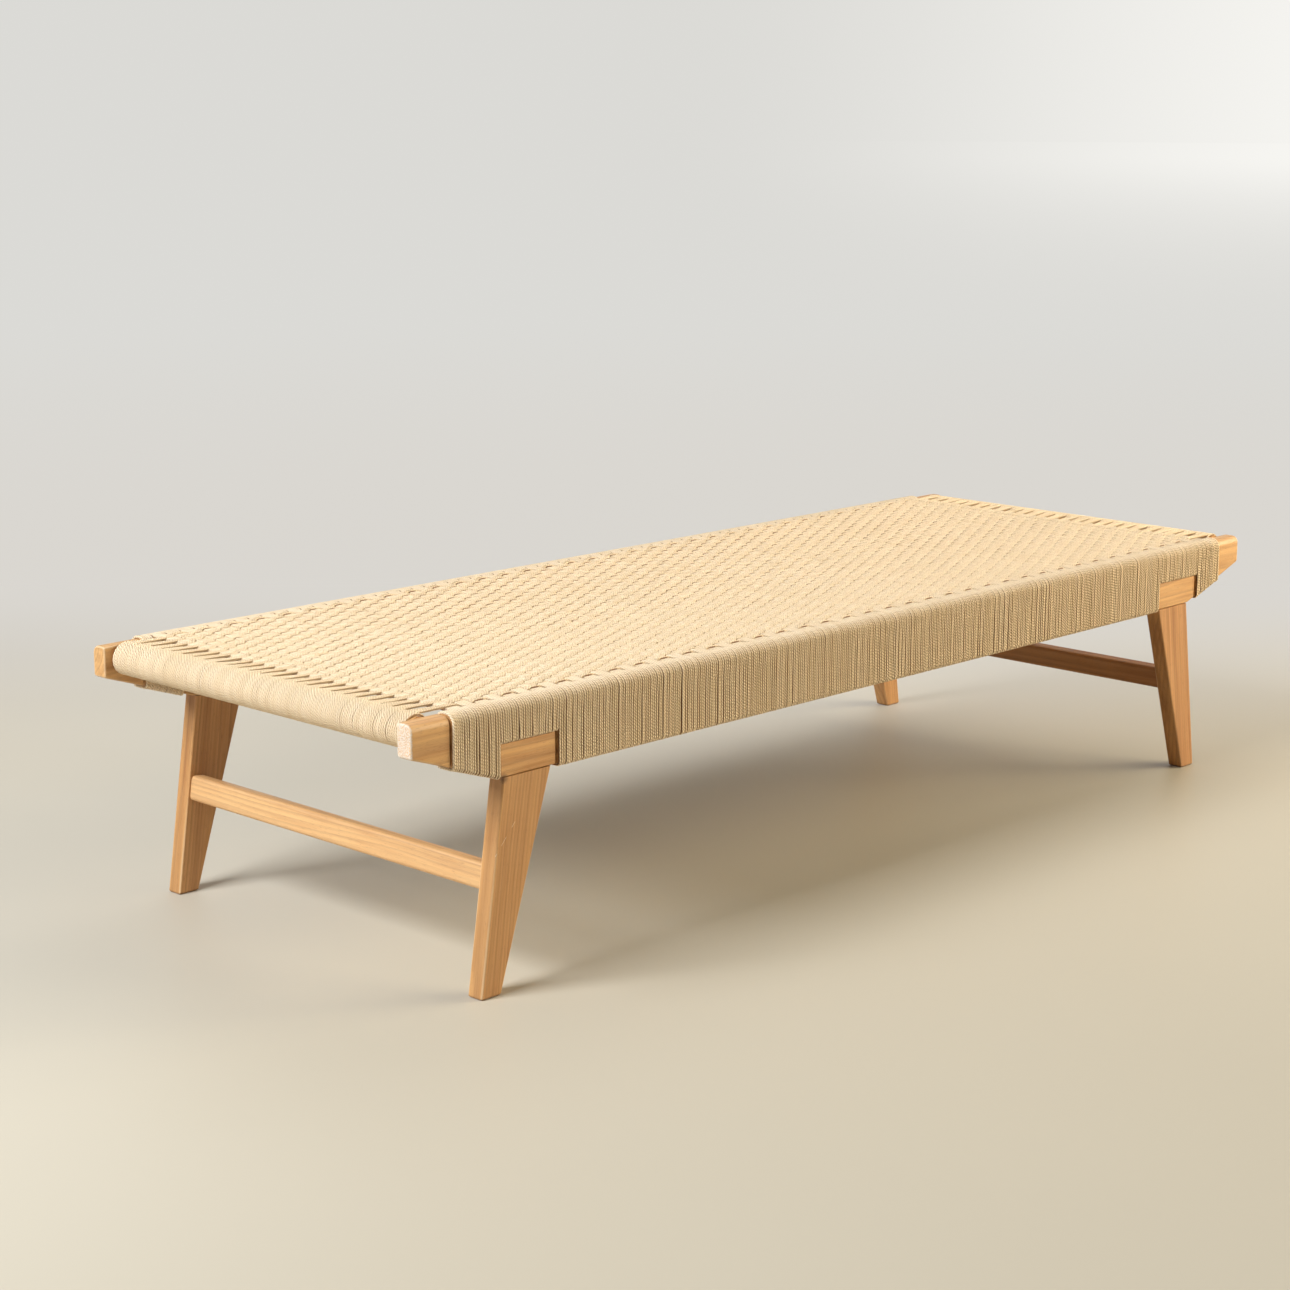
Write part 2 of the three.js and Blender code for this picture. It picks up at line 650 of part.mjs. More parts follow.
// One side: a rail with its winding, turned round for the back
const HALF_GAP = FIT / 2;
const [leftBlock, rightBlock] = BLOCKS.map(([x0, x1]) => [x0 - KERF_WIDTH, x1 + KERF_WIDTH]);
const windings = [
  ["left_horn", -WINDING_END, leftBlock[0] - HALF_GAP, false],
  ["left_block", leftBlock[0] + HALF_GAP, leftBlock[1] - HALF_GAP, true],
  ["middle", leftBlock[1] + HALF_GAP, rightBlock[0] - HALF_GAP, false],
  ["right_block", rightBlock[0] + HALF_GAP, rightBlock[1] - HALF_GAP, true],
  ["right_horn", rightBlock[1] + HALF_GAP, WINDING_END, false],
];
for (const side of ["front", "back"]) {
  const turned = side === "back";
  const group = new THREE.Group();
  group.rotation.z = turned ? Math.PI : 0;
  group.add(piece(`side_rail_${side}`, sideRail(), oiledWood));
  for (const [place, x0, x1, overBlock] of windings) {
    const swap = { left: "right", right: "left" };
    const seen = turned ? place.replace(/left|right/, (word) => swap[word]) : place;
    group.add(piece(`cord_${side}_${seen}`, winding(x0, x1, overBlock), paperCord));
  }
  bench.add(group);
}

for (const [place, end] of [["left", -1], ["right", 1]]) {
  bench.add(piece(`end_rail_${place}`, endRail(end), oiledWood));
  bench.add(piece(`cord_end_${place}`, endWinding(end), paperCord));
  bench.add(piece(`stretcher_${place}`, mirrored(stretcher(), end, 1), oiledWood));
  for (const [side, across] of [["front", 1], ["back", -1]]) {
    bench.add(piece(`leg_${side}_${place}`, mirrored(leg(), end, across), oiledWood));
  }
}

bench.add(piece("woven_seat", wovenSeat(), paperCord));

export default bench;
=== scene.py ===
import math

import bmesh
import bpy
import numpy as np
from mathutils import Matrix, Vector


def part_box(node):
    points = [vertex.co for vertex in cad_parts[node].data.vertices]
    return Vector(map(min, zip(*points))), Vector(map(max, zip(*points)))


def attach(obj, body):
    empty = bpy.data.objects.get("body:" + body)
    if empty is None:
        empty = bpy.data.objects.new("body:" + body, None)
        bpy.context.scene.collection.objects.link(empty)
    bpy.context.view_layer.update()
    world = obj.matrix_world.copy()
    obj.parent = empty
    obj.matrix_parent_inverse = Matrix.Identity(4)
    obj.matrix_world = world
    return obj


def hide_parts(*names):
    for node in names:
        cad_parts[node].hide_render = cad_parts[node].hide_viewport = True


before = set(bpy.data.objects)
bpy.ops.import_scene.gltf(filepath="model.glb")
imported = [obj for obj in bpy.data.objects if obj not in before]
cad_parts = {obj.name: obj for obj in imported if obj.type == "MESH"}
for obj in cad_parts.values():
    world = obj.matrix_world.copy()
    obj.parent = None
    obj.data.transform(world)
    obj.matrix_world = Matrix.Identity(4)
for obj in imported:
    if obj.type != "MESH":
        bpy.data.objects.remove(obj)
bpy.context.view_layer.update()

# Routes are worked out in millimetres, as the bench was drawn, and become metres when a mesh is made.
MM = 0.001
SEED = 41

RAILS = {"front": -1, "back": 1}
ENDS = {"left": -1, "right": 1}

rng = np.random.default_rng(SEED)


def box_of(node):
    """The lowest and highest corner of a solid of the bench, in millimetres."""
    low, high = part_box(node)
    return np.array(low) / MM, np.array(high) / MM


# Sizes that the frame gives
RAIL_LOW, RAIL_HIGH = box_of("side_rail_front")
OUTER_FACE, INNER_FACE = -RAIL_LOW[1], -RAIL_HIGH[1]
RAIL_BOTTOM, RAIL_TOP, RAIL_END = RAIL_LOW[2], RAIL_HIGH[2], RAIL_HIGH[0]
POLE_LOW, POLE_HIGH = box_of("end_rail_right")
POLE_X = (POLE_LOW[0] + POLE_HIGH[0]) / 2
POLE_HEIGHT = (POLE_LOW[2] + POLE_HIGH[2]) / 2
POLE_RADIUS = (POLE_HIGH[2] - POLE_LOW[2]) / 2
SEAT_LOW, SEAT_HIGH = box_of("woven_seat")
WEAVE_DEPTH = 8
WEAVE_MIDDLE = SEAT_HIGH[2] - WEAVE_DEPTH / 2
SEAT_SAG = SEAT_HIGH[2] - SEAT_LOW[2] - WEAVE_DEPTH
SEAT_HALF_WIDTH = SEAT_HIGH[1]
WINDING_END = box_of("cord_front_right_horn")[1][0]

# The side rail's section and taper
CREST_RADIUS = 11
EDGE_RADIUS = 3
TAPER_START = 796
TIP_DEPTH = 44.5
SLOT_MIDDLE = 338.1
SLOT_CORNER = 2.4

# The cord and its count. Places of turns are counted from the middle of their row or group
CORD_DIAMETER = 4.05
CORD_RADIUS = CORD_DIAMETER / 2
CORD_SIDES = 6
FLOAT_SIDES = 7
RUN_SHIFT = 7.0  # metres, at most, that the twist of one cord is out of step with the next
ROW_PITCH = 24.45
ROW_COUNT = 71
TURN_PITCH = ROW_PITCH / 6
GROUP_PITCH = 24.56
GROUP_COUNT = 25
PAIR_COUNT = 2 * GROUP_COUNT
PAIR_PITCH = GROUP_PITCH / 2
ROW_CORDS = (-1.5, -0.5, 0.5, 1.5)
GROUP_CORDS = (-1.5, -0.5, 0.5, 1.5)
STAYING_TURNS = (-2.5, 2.5)
END_TURNS = 4
CROSSING_PIECES = 5
LENGTHWISE_PIECES = 4

# Points along a route
CROSS_STEPS = 4
FLOAT_STEPS = 6
FACE_POINTS = 3
CORNER_STEPS = 3
CREST_STEPS = 5
BRIDGE_POINTS = 3
FINGER_POINTS = 4
WRAP_STEPS = 16
RING_STEPS = 20

# The winding on the side rails
WINDING_GIRTH = 0.96
OUTERMOST_GIRTH = 1.16
OUTERMOST_PROUD = 0.3
TURN_PROUD = 0.3
TURN_DRIFT = 0.28
DRIFT_LIMIT = 0.6
GATHER_DEPTH = 30  # below the crest, over which the turns come to their places on it
TUCK_HEIGHT = 380

# The winding on the end rails
WRAP_ANGLE = 290
POLE_SLANT = 2.2
GROUP_DRIFT = 1.1
WOUND_DRIFT_SHARE = 0.35

# The weave: the cord swells there, and the cords of a row or pair spread
SAG_POWER = 2.4
SWELL = 1.11
GIRTH_CHANCE = 0.015
ROW_SPREAD = 1.09
PAIR_REACH = 2.2
PAIR_BOW = 0.3
ARCH_REACH = 2.0
LIFT = 2.1
CROSS_FLATNESS = 2.2
FLOAT_FLATNESS = 2.3
FLOAT_SKEW = 0.12
EDGE_FADE = 20

# Chance offsets sideways (sway) and up or down (heave): their size, and the points from one to the next
TURN_SWAY = (0.22, 3)
ROW_SWAY = (0.45, 30)
PAIR_SWAY = (0.35, 60)
CROSS_SWAY = (0.1, 6)
CROSS_HEAVE = (0.06, 3)
FLOAT_SWAY = (0.1, 8)
FLOAT_HEAVE = (0.06, 4)

# The bridges from the side rail to the weave, and the fingers from the end rail to it
BRIDGE_CURVE = 3
FINGER_REACH = PAIR_PITCH / 4
FINGER_CURVE = 0.4
FINGER_DRIFT = 1.2

# How much the hollows between cords are darkened, by depth and on the flanks: painted shade where neighbouring
# cords shade them, with some soil
HOLLOW_START = 0.55
FLOAT_HOLLOW = 0.05
EDGE_HOLLOW = 0.5
LATE_HOLLOW = 0.8
BRIDGE_HOLLOW = 0.3
ROW_HOLLOW_FALL = 0.2
OUTER_FLANK = 0.45  # towards both ends of where a cord lies on top
TOP_SHARE = 0.2
TOP_FADE = 0.3
FACE_FLANK = 1.02
FACE_FADE = 16
WOUND_FLANK = 0.86
WOUND_FADE = 8


def steady(share):
    """Eases a share from 0 to 1."""
    share = np.clip(share, 0, 1)
    return share * share * (3 - 2 * share)


def wander(count, size, stride):
    """Smooth chance offsets for points in a row, new at every stride points."""
    knots = rng.normal(0, size, count // stride + 3)
    places = np.arange(count) / stride
    low = places.astype(int)
    share = steady(places - low)
    return knots[low] * (1 - share) + knots[low + 1] * share


def sag(x, y):
    """How much lower the seat lies than its rim, which use has caused."""
    along = 1 - np.abs(x / POLE_X) ** SAG_POWER
    across = 1 - (y / SEAT_HALF_WIDTH) ** 2
    return SEAT_SAG * np.clip(along, 0, 1) * np.clip(across, 0, 1)


def places_along(count, per_step):
    """Places from 0 to count, so many to each step, that leave out the step's turning point."""
    return np.concatenate([[0], (np.arange(count * per_step) + 0.5) / per_step, [count]])


def hollow_of(over):
    """How deep a cord lies among its neighbours, from 0 to 1, by how far it is over (1) or under them (-1)."""
    return steady(HOLLOW_START - over)


def wave(steps, flatness, skew=0):
    """1 at even steps, -1 at odd ones, flattened towards both. A skew brings the rise before the fall."""
    turn = math.pi * steps
    return np.tanh(flatness * np.cos(turn + skew * np.cos(turn))) / math.tanh(flatness)


def arc(middle, radius, first, last, steps):
    """Points of an arc in a section, with its angles in degrees."""
    angles = np.radians(np.linspace(first, last, steps + 1))
    return np.stack([middle[0] + radius * np.cos(angles), middle[1] + radius * np.sin(angles)], 1)


def rail_bottom(x):
    """The lower edge of the side rail, which rises towards its tips."""
    rise = RAIL_TOP - TIP_DEPTH - RAIL_BOTTOM
    return RAIL_BOTTOM + rise * max(0, abs(x) - TAPER_START) / (RAIL_END - TAPER_START)


# Where the turns round a side rail lie on its crest: those of the cords that cross, and those that stay
row_places = (np.arange(ROW_COUNT) - (ROW_COUNT - 1) / 2) * ROW_PITCH
cross_places = np.add.outer(row_places, np.array(ROW_CORDS) * TURN_PITCH)
stay_places = np.add.outer(row_places, np.array(STAYING_TURNS) * TURN_PITCH).ravel()
last_stay = stay_places.max()
end_places = np.linspace(last_stay, WINDING_END - CORD_RADIUS, END_TURNS + 1)[1:]
stay_places = np.sort(np.concatenate([-end_places, stay_places, end_places]))
turn_places = np.sort(np.concatenate([cross_places.ravel(), stay_places]))
STRETCHES = ("left_horn", "left_block", "middle", "right_block", "right_horn")


def lay_of(rail):
    """For one rail, the place of each turn below the crest, and whether it passes above a block."""
    low_places = turn_places.copy()
    above_block = np.zeros(len(turn_places), bool)
    for stretch in STRETCHES:
        low, high = box_of(f"cord_{rail}_{stretch}")
        inside = (turn_places > low[0]) & (turn_places < high[0])
        found = turn_places[inside]
        ends = [low[0] + CORD_RADIUS, high[0] - CORD_RADIUS]
        low_places[inside] = np.interp(found, [found.min(), found.max()], ends)
        above_block |= inside & stretch.endswith("block")
    drift = np.clip(rng.normal(0, TURN_DRIFT, len(turn_places)), -DRIFT_LIMIT, DRIFT_LIMIT)
    drift[[0, -1]] = 0
    return low_places + drift, above_block


def rail_turn(x, x_low, above_block, proud):
    """Half a turn of cord: from under the seat down the rail's inner face, below it and up over its crest.

    The points are (x, distance from the bench's middle line, height)."""
    inner, outer = INNER_FACE - CORD_RADIUS, OUTER_FACE + CORD_RADIUS + proud
    top = RAIL_TOP + CORD_RADIUS
    bottom = SLOT_MIDDLE if above_block else rail_bottom(x_low) - CORD_RADIUS
    corner = SLOT_CORNER if above_block else EDGE_RADIUS + CORD_RADIUS
    crest = CREST_RADIUS + CORD_RADIUS
    face = np.linspace(bottom + corner, top - crest, FACE_POINTS + 2)[1:-1]
    section = np.concatenate([
        [[inner, TUCK_HEIGHT]],
        arc((inner + corner, bottom + corner), corner, 180, 270, CORNER_STEPS),
        arc((outer - corner, bottom + corner), corner, 270, 360, CORNER_STEPS),
        np.stack([np.full(len(face), outer), face], 1),
        arc((outer - crest, top - crest), crest, 0, 90, CREST_STEPS),
    ])
    up = steady((section[:, 1] - (top - crest - GATHER_DEPTH)) / GATHER_DEPTH)
    along = x_low + (x - x_low) * up
    sway = wander(len(section), *TURN_SWAY) * (section[:, 0] > OUTER_FACE) * (1 - up)
    return np.column_stack([along + sway, section])


def crest_back(x, proud):
    """The rest of a staying turn, over the crest and down the rail's inner face."""
    top, crest = RAIL_TOP + CORD_RADIUS, CREST_RADIUS + CORD_RADIUS
    section = arc((INNER_FACE - CORD_RADIUS + crest, top - crest), crest, 90, 180, CREST_STEPS)
    return np.column_stack([np.full(len(section), x), section])


def sided(points, side):
    """Turns (x, outward, height) into a place on the front or back of the bench."""
    return points * np.array([1, side, 1])


def proudness(index):
    """How far a turn stands out of its neighbours: every third one does, and each a little more by chance."""
    return TURN_PROUD * (index % 3 == 1) + abs(rng.normal(0, TURN_PROUD))


lays = {side: lay_of(rail) for rail, side in RAILS.items()}


def turn_on(side, x):
    """The half turn at one place on one side rail."""
    index = int(np.abs(turn_places - x).argmin())
    low_places, above_block = lays[side]
    return rail_turn(x, low_places[index], above_block[index], proudness(index))


def crossing_cord(row, x, row_sway):
    """One cord across the seat, with its half turns round both side rails."""
    steps = places_along(PAIR_COUNT - 1, CROSS_STEPS)
    y = (steps - (PAIR_COUNT - 1) / 2) * PAIR_PITCH
    under = wave(steps + row, CROSS_FLATNESS)
    z = WEAVE_MIDDLE - LIFT * under - sag(x, y)
    sway = row_sway + wander(len(steps), *CROSS_SWAY) + (x - row_places[row]) * (ROW_SPREAD - 1)
    fade = steady((-y[0] - np.abs(y)) / EDGE_FADE)
    over = np.column_stack([x + sway * fade, y, z + wander(len(steps), *CROSS_HEAVE)])
    lead = np.linspace(0, 1, BRIDGE_POINTS + 2)[1:-1]
    start = np.array([x, INNER_FACE + CREST_RADIUS, RAIL_TOP + CORD_RADIUS])
    parts, dives = [], []
    for side, end in ((-1, 0), (1, -1)):
        bridge_y = start[1] + (abs(over[end, 1]) - start[1]) * lead
        bridge_z = start[2] + (over[end, 2] - start[2]) * lead ** BRIDGE_CURVE
        bridge = np.column_stack([np.full(BRIDGE_POINTS, x), bridge_y, bridge_z])
        parts.append(sided(np.concatenate([turn_on(side, x), [start], bridge]), side))
        dive = np.zeros(len(parts[-1]))
        dive[-1] = BRIDGE_HOLLOW * (under[end] > 0)
        dives.append(dive)
    points = np.concatenate([parts[0], over, parts[1][::-1]])
    order = (x - row_places[row]) / (2 * ROW_CORDS[-1] * TURN_PITCH) + 0.5
    depth = hollow_of(-under) * (1 - ROW_HOLLOW_FALL * order)
    swell = WINDING_GIRTH + (SWELL - WINDING_GIRTH) * fade
    tight = [np.full(len(part), WINDING_GIRTH) for part in parts]
    girth = np.concatenate([tight[0], swell, tight[1]])
    return points, girth, np.concatenate([dives[0], depth, dives[1][::-1]])


def staying_turn(side, x, proud=0):
    """One whole turn round a side rail, beside the cords that cross. Its ends meet on the inner face."""
    half = turn_on(side, x)
    half[:, 1] += proud * (half[:, 1] > OUTER_FACE)
    return sided(np.concatenate([half, crest_back(x, proud), half[:1]]), side)


def pole_turn(y_start, first, last, steps):
    """Cord round the right end rail, in degrees from the horizontal, seen from the front."""
    ring = arc((POLE_X, POLE_HEIGHT), POLE_RADIUS + CORD_RADIUS, first, last, steps)
    angles = np.radians(np.linspace(first, last, steps + 1))
    y = y_start + POLE_SLANT * (1 - np.sin(angles)) / 2
    return np.column_stack([ring[:, 0], y, ring[:, 1]])


def lengthwise_cord(pair, partner, group_shift, pair_sway):
    """One cord of a pair from end rail to end rail, with its turns round both."""
    group, half = divmod(pair, 2)
    group_middle = (group - (GROUP_COUNT - 1) / 2) * GROUP_PITCH
    pole_y = group_middle + WOUND_DRIFT_SHARE * group_shift + GROUP_CORDS[2 * half + partner] * TURN_PITCH
    pair_middle = (pair - (PAIR_COUNT - 1) / 2) * PAIR_PITCH
    steps = places_along(ROW_COUNT - 1, FLOAT_STEPS)
    x = (steps - (ROW_COUNT - 1) / 2) * ROW_PITCH
    over = wave(steps + pair, FLOAT_FLATNESS, FLOAT_SKEW)
    lifted = np.clip(over, 0, 1)
    settled = steady(np.minimum(steps, ROW_COUNT - 1 - steps) / 2)
    reach = FINGER_REACH + (PAIR_REACH + PAIR_BOW * lifted - FINGER_REACH) * settled
    lean = np.zeros(len(steps))
    for edge, outward in ((0, -1), (PAIR_COUNT - 1, 1)):
        if pair == edge:
            bulge = ARCH_REACH if (partner == 1) == (outward > 0) else ARCH_REACH / 2
            lean = outward * bulge * lifted
    sway = (pair_sway + wander(len(steps), *FLOAT_SWAY) + lean) * settled
    y = pair_middle + (2 * partner - 1) * reach + sway
    z = WEAVE_MIDDLE + LIFT * over + wander(len(steps), *FLOAT_HEAVE) - sag(x, y)
    seat = np.column_stack([x, y, z])
    past = (steps + pair + 1) % 2 - 1
    hollow = hollow_of(over) * (1 - LATE_HOLLOW * (past > 0))
    ring = pole_turn(pole_y, 90, 90 - WRAP_ANGLE, WRAP_STEPS)
    lead = np.linspace(0, 1, FINGER_POINTS + 2)[1:-1]
    sides = []
    for turn, last in ((ring * np.array([-1, 1, 1]), seat[0]), (ring, seat[-1])):
        finger = turn[0] + (last - turn[0]) * lead[:, None]
        finger[:, 1] = pole_y + (last[1] - pole_y) * lead ** FINGER_CURVE
        finger[:, 1] += FINGER_DRIFT * group_shift * np.sin(math.pi * lead)
        sides.append(np.concatenate([finger[::-1], turn]))
    points = np.concatenate([sides[0][::-1], seat, sides[1]])
    tight = np.full(len(sides[0]), WINDING_GIRTH)
    tight[:len(lead)] = 1
    girth = np.concatenate([tight[::-1], 1 + (SWELL - 1) * settled, tight])
    held = np.zeros(len(sides[0]))
    flank = 1 + (OUTER_FLANK - 1) * steady((np.abs(past) - TOP_SHARE) / TOP_FADE) * settled
    flank *= WOUND_FLANK + (1 - WOUND_FLANK) * settled
    shown = EDGE_HOLLOW if pair in (0, PAIR_COUNT - 1) else FLOAT_HOLLOW
    across = np.concatenate([held + WOUND_FLANK, flank, held + WOUND_FLANK])
    flanks = np.column_stack([np.zeros(len(across)), across])
    return points, girth, np.concatenate([held, shown * hollow * settled, held]), flanks


def face_flank(points):
    """How much painted shade, with some soil, darkens the flanks of cords round a side rail, as (along,
    across).
    """
    down = steady((RAIL_TOP - points[:, 2]) / FACE_FADE) * (np.abs(points[:, 1]) > OUTER_FACE)
    wound = steady((np.abs(points[:, 1]) - SEAT_HALF_WIDTH) / WOUND_FADE)
    return np.column_stack([wound * (1 + (FACE_FLANK - 1) * down), np.zeros(len(points))])


def pole_staying_turn(end, y):
    """One whole turn round an end rail, between two groups. Its ends meet on the inner side."""
    return pole_turn(y, 180, 180 - 360, RING_STEPS) * np.array([end, 1, 1])


def input_of(tree, label):
    """The identifier of a tree's named input."""
    for item in tree.interface.items_tree:
        if item.item_type == "SOCKET" and item.in_out == "INPUT" and item.name == label:
            return item.identifier
    raise KeyError(label)


def put(tree, kind, feeds=None, **settings):
    """Adds a node, sets it, and feeds its inputs with numbers or with other nodes' outputs."""
    made = tree.nodes.new(kind)
    for name, value in settings.items():
        setattr(made, name, value)
    for key, value in (feeds or {}).items():
        if isinstance(value, bpy.types.NodeSocket):
            tree.links.new(value, made.inputs[key])
        else:
            made.inputs[key].default_value = value
    return made


def calc(tree, operation, first, second=0.0, third=0.0):
    """The output of a Math node."""
    feeds = {0: first, 1: second, 2: third}
    return put(tree, "ShaderNodeMath", feeds, operation=operation).outputs[0]


def vector_calc(tree, operation, first, second):
    """The output of a Vector Math node."""
    return put(tree, "ShaderNodeVectorMath", {0: first, 1: second}, operation=operation).outputs[0]


def eased(tree, value, low, high, to_low=0.0, to_high=1.0):
    """Maps a value from one range to another with soft ends."""
    feeds = {"Value": value, "From Min": low, "From Max": high, "To Min": to_low, "To Max": to_high}
    return put(tree, "ShaderNodeMapRange", feeds, interpolation_type="SMOOTHSTEP").outputs[0]


def mixed(tree, share, first, second, blend="MIX"):
    """The colour between two colours."""
    made = put(tree, "ShaderNodeMix", {0: share, 6: first, 7: second}, data_type="RGBA", blend_type=blend)
    return made.outputs[2]


def noise(tree, place, scale, detail=2.0, roughness=0.5):
    """A noise value about one half."""
    feeds = {"Vector": place, "Scale": scale, "Detail": detail, "Roughness": roughness}
    return put(tree, "ShaderNodeTexNoise", feeds).outputs[0]


def cord_tree(material):
    """The tree that lays cord along routes: a round section swept along each, with its lay marked on it."""
    tree = bpy.data.node_groups.new("Laid cord", "GeometryNodeTree")
    face = tree.interface
    face.new_socket("Geometry", in_out="INPUT", socket_type="NodeSocketGeometry")
    face.new_socket("Cord Diameter", in_out="INPUT", socket_type="NodeSocketFloat")
    face.new_socket("Sides", in_out="INPUT", socket_type="NodeSocketInt")
    face.new_socket("Tone Seed", in_out="INPUT", socket_type="NodeSocketInt")
    face.new_socket("Geometry", in_out="OUTPUT", socket_type="NodeSocketGeometry")
    given = put(tree, "NodeGroupInput")
    routes = put(tree, "GeometryNodeMeshToCurve", {"Mesh": given.outputs["Geometry"]})
    run = put(tree, "GeometryNodeSplineParameter").outputs["Length"]
    chance = put(tree, "FunctionNodeRandomValue", {"Seed": given.outputs["Tone Seed"]}, data_type="FLOAT")
    tone = put(tree, "GeometryNodeInputNamedAttribute", {"Name": "cord_tone"}, data_type="FLOAT").outputs[0]
    marks = (
        ("cord_tone", "CURVE", chance.outputs[1]),
        ("cord_run", "POINT", calc(tree, "MULTIPLY_ADD", tone, RUN_SHIFT, run)),
    )
    flow = routes.outputs[0]
    for name, domain, value in marks:
        feeds = {"Geometry": flow, "Name": name, "Value": value}
        kept = put(tree, "GeometryNodeStoreNamedAttribute", feeds, data_type="FLOAT", domain=domain)
        flow = kept.outputs[0]
    radius = calc(tree, "DIVIDE", given.outputs["Cord Diameter"], 2.0)
    feeds = {"Resolution": given.outputs["Sides"], "Radius": radius}
    ring = put(tree, "GeometryNodeCurvePrimitiveCircle", feeds)
    place = put(tree, "GeometryNodeInputPosition").outputs[0]
    outward = put(tree, "ShaderNodeVectorMath", {0: place}, operation="NORMALIZE").outputs[0]
    feeds = {"Geometry": ring.outputs[0], "Name": "cord_round", "Value": outward}
    section = put(tree, "GeometryNodeStoreNamedAttribute", feeds, data_type="FLOAT_VECTOR", domain="POINT")
    girth = put(tree, "GeometryNodeInputNamedAttribute", {"Name": "girth"}, data_type="FLOAT").outputs[0]
    feeds = {"Curve": flow, "Profile Curve": section.outputs[0], "Scale": girth, "Fill Caps": True}
    tube = put(tree, "GeometryNodeCurveToMesh", feeds)
    smooth = put(tree, "GeometryNodeSetShadeSmooth", {"Geometry": tube.outputs[0]})
    whole = put(tree, "GeometryNodeRealizeInstances", {"Geometry": smooth.outputs[0]})
    dressed = put(tree, "GeometryNodeSetMaterial", {"Geometry": whole.outputs[0], "Material": material})
    put(tree, "NodeGroupOutput", {"Geometry": dressed.outputs[0]})
    return tree


def mark(mesh, name, values):
    """Writes a number or a vector for each of a mesh's points."""
    held = mesh.attributes.new(name, "FLOAT" if values.ndim == 1 else "FLOAT_VECTOR", "POINT")
    held.data.foreach_set("value" if values.ndim == 1 else "vector", values.astype(np.float32).ravel())


def laid_cord(name, strands, tree, sides, tone_seed, *nodes):
    """Makes one piece of cord from its strands.

    A strand has its points, its girth, how deep it lies in a hollow and how much painted shade, with some
    soil, darkens its flanks, as (along, across). All but the points may be one value for the whole strand."""
    girths, hollows, edges, start = [], [], [], 0
    for strand in strands:
        count = len(strand["points"])
        girths.append(np.broadcast_to(strand["girth"], count))
        depth = np.broadcast_to(strand.get("hollow", 0), count)
        hollows.append(np.column_stack([np.broadcast_to(strand["flanks"], (count, 2)), depth]))
        order = np.arange(start, start + count)
        edges.append(np.column_stack([order[:-1], order[1:]]))
        start += count
    points = np.concatenate([strand["points"] for strand in strands]) * MM
    edges = np.concatenate(edges)
    wire = bpy.data.meshes.new(name)
    wire.vertices.add(len(points))
    wire.vertices.foreach_set("co", points.astype(np.float32).ravel())
    wire.edges.add(len(edges))
    wire.edges.foreach_set("vertices", edges.astype(np.int32).ravel())
    mark(wire, "girth", np.concatenate(girths))
    mark(wire, "cord_hollow", np.concatenate(hollows))
    piece = bpy.data.objects.new(name, wire)
    bpy.context.scene.collection.objects.link(piece)
    sweep = piece.modifiers.new("Laid cord", "NODES")
    sweep.node_group = tree
    sizes = {"Cord Diameter": CORD_DIAMETER * MM, "Sides": sides, "Tone Seed": tone_seed}
    for label, value in sizes.items():
        sweep[input_of(tree, label)] = value
    depsgraph = bpy.context.evaluated_depsgraph_get()
    swept = bpy.data.meshes.new_from_object(
        piece.evaluated_get(depsgraph), preserve_all_data_layers=True, depsgraph=depsgraph)
    piece.modifiers.clear()
    piece.data = swept
    bpy.data.meshes.remove(wire)
    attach(piece, "root")
    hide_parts(*nodes)
    return piece


def new_group(name, inputs, outputs):
    """A shader group with named inputs, each with its first value, and named outputs."""
    tree = bpy.data.node_groups.new(name, "ShaderNodeTree")
    for label, kind, value in inputs:
        made = tree.interface.new_socket(label, in_out="INPUT", socket_type=kind)
        if value is not None:
            made.default_value = value
    for label, kind in outputs:
        tree.interface.new_socket(label, in_out="OUTPUT", socket_type=kind)
    return tree, put(tree, "NodeGroupInput").outputs


def mottling_group():
    """Broad and fine cloudiness, for any finish."""
    tree, given = new_group(
        "Mottling",
        (("Place", "NodeSocketVector", None), ("Broad Scale", "NodeSocketFloat", 3.0),
         ("Fine Scale", "NodeSocketFloat", 60.0)),
        (("Broad", "NodeSocketFloat"), ("Fine", "NodeSocketFloat")))
    broad = noise(tree, given["Place"], given["Broad Scale"], 3.0)
    fine = noise(tree, given["Place"], given["Fine Scale"], 2.0)
    feeds = {"Broad": eased(tree, broad, 0.3, 0.7), "Fine": eased(tree, fine, 0.3, 0.7)}
    put(tree, "NodeGroupOutput", feeds)
    return tree


# The grain's noises, each with its scale along the wood, its scale across it, and its detail
GRAIN_SCALES = (
    (1.3, 9.0, 2.0),  # slow drift of the rings
    (2.5, 85.0, 3.0),  # streaks
    (22.0, 800.0, 2.0),  # fibres
    (90.0, 1500.0, 1.0),  # pores
)
RING_DRIFT = 0.03  # metres
LATE_WOOD = 0.93  # the share of a ring at which it is darkest
PALEST_RING = 0.3


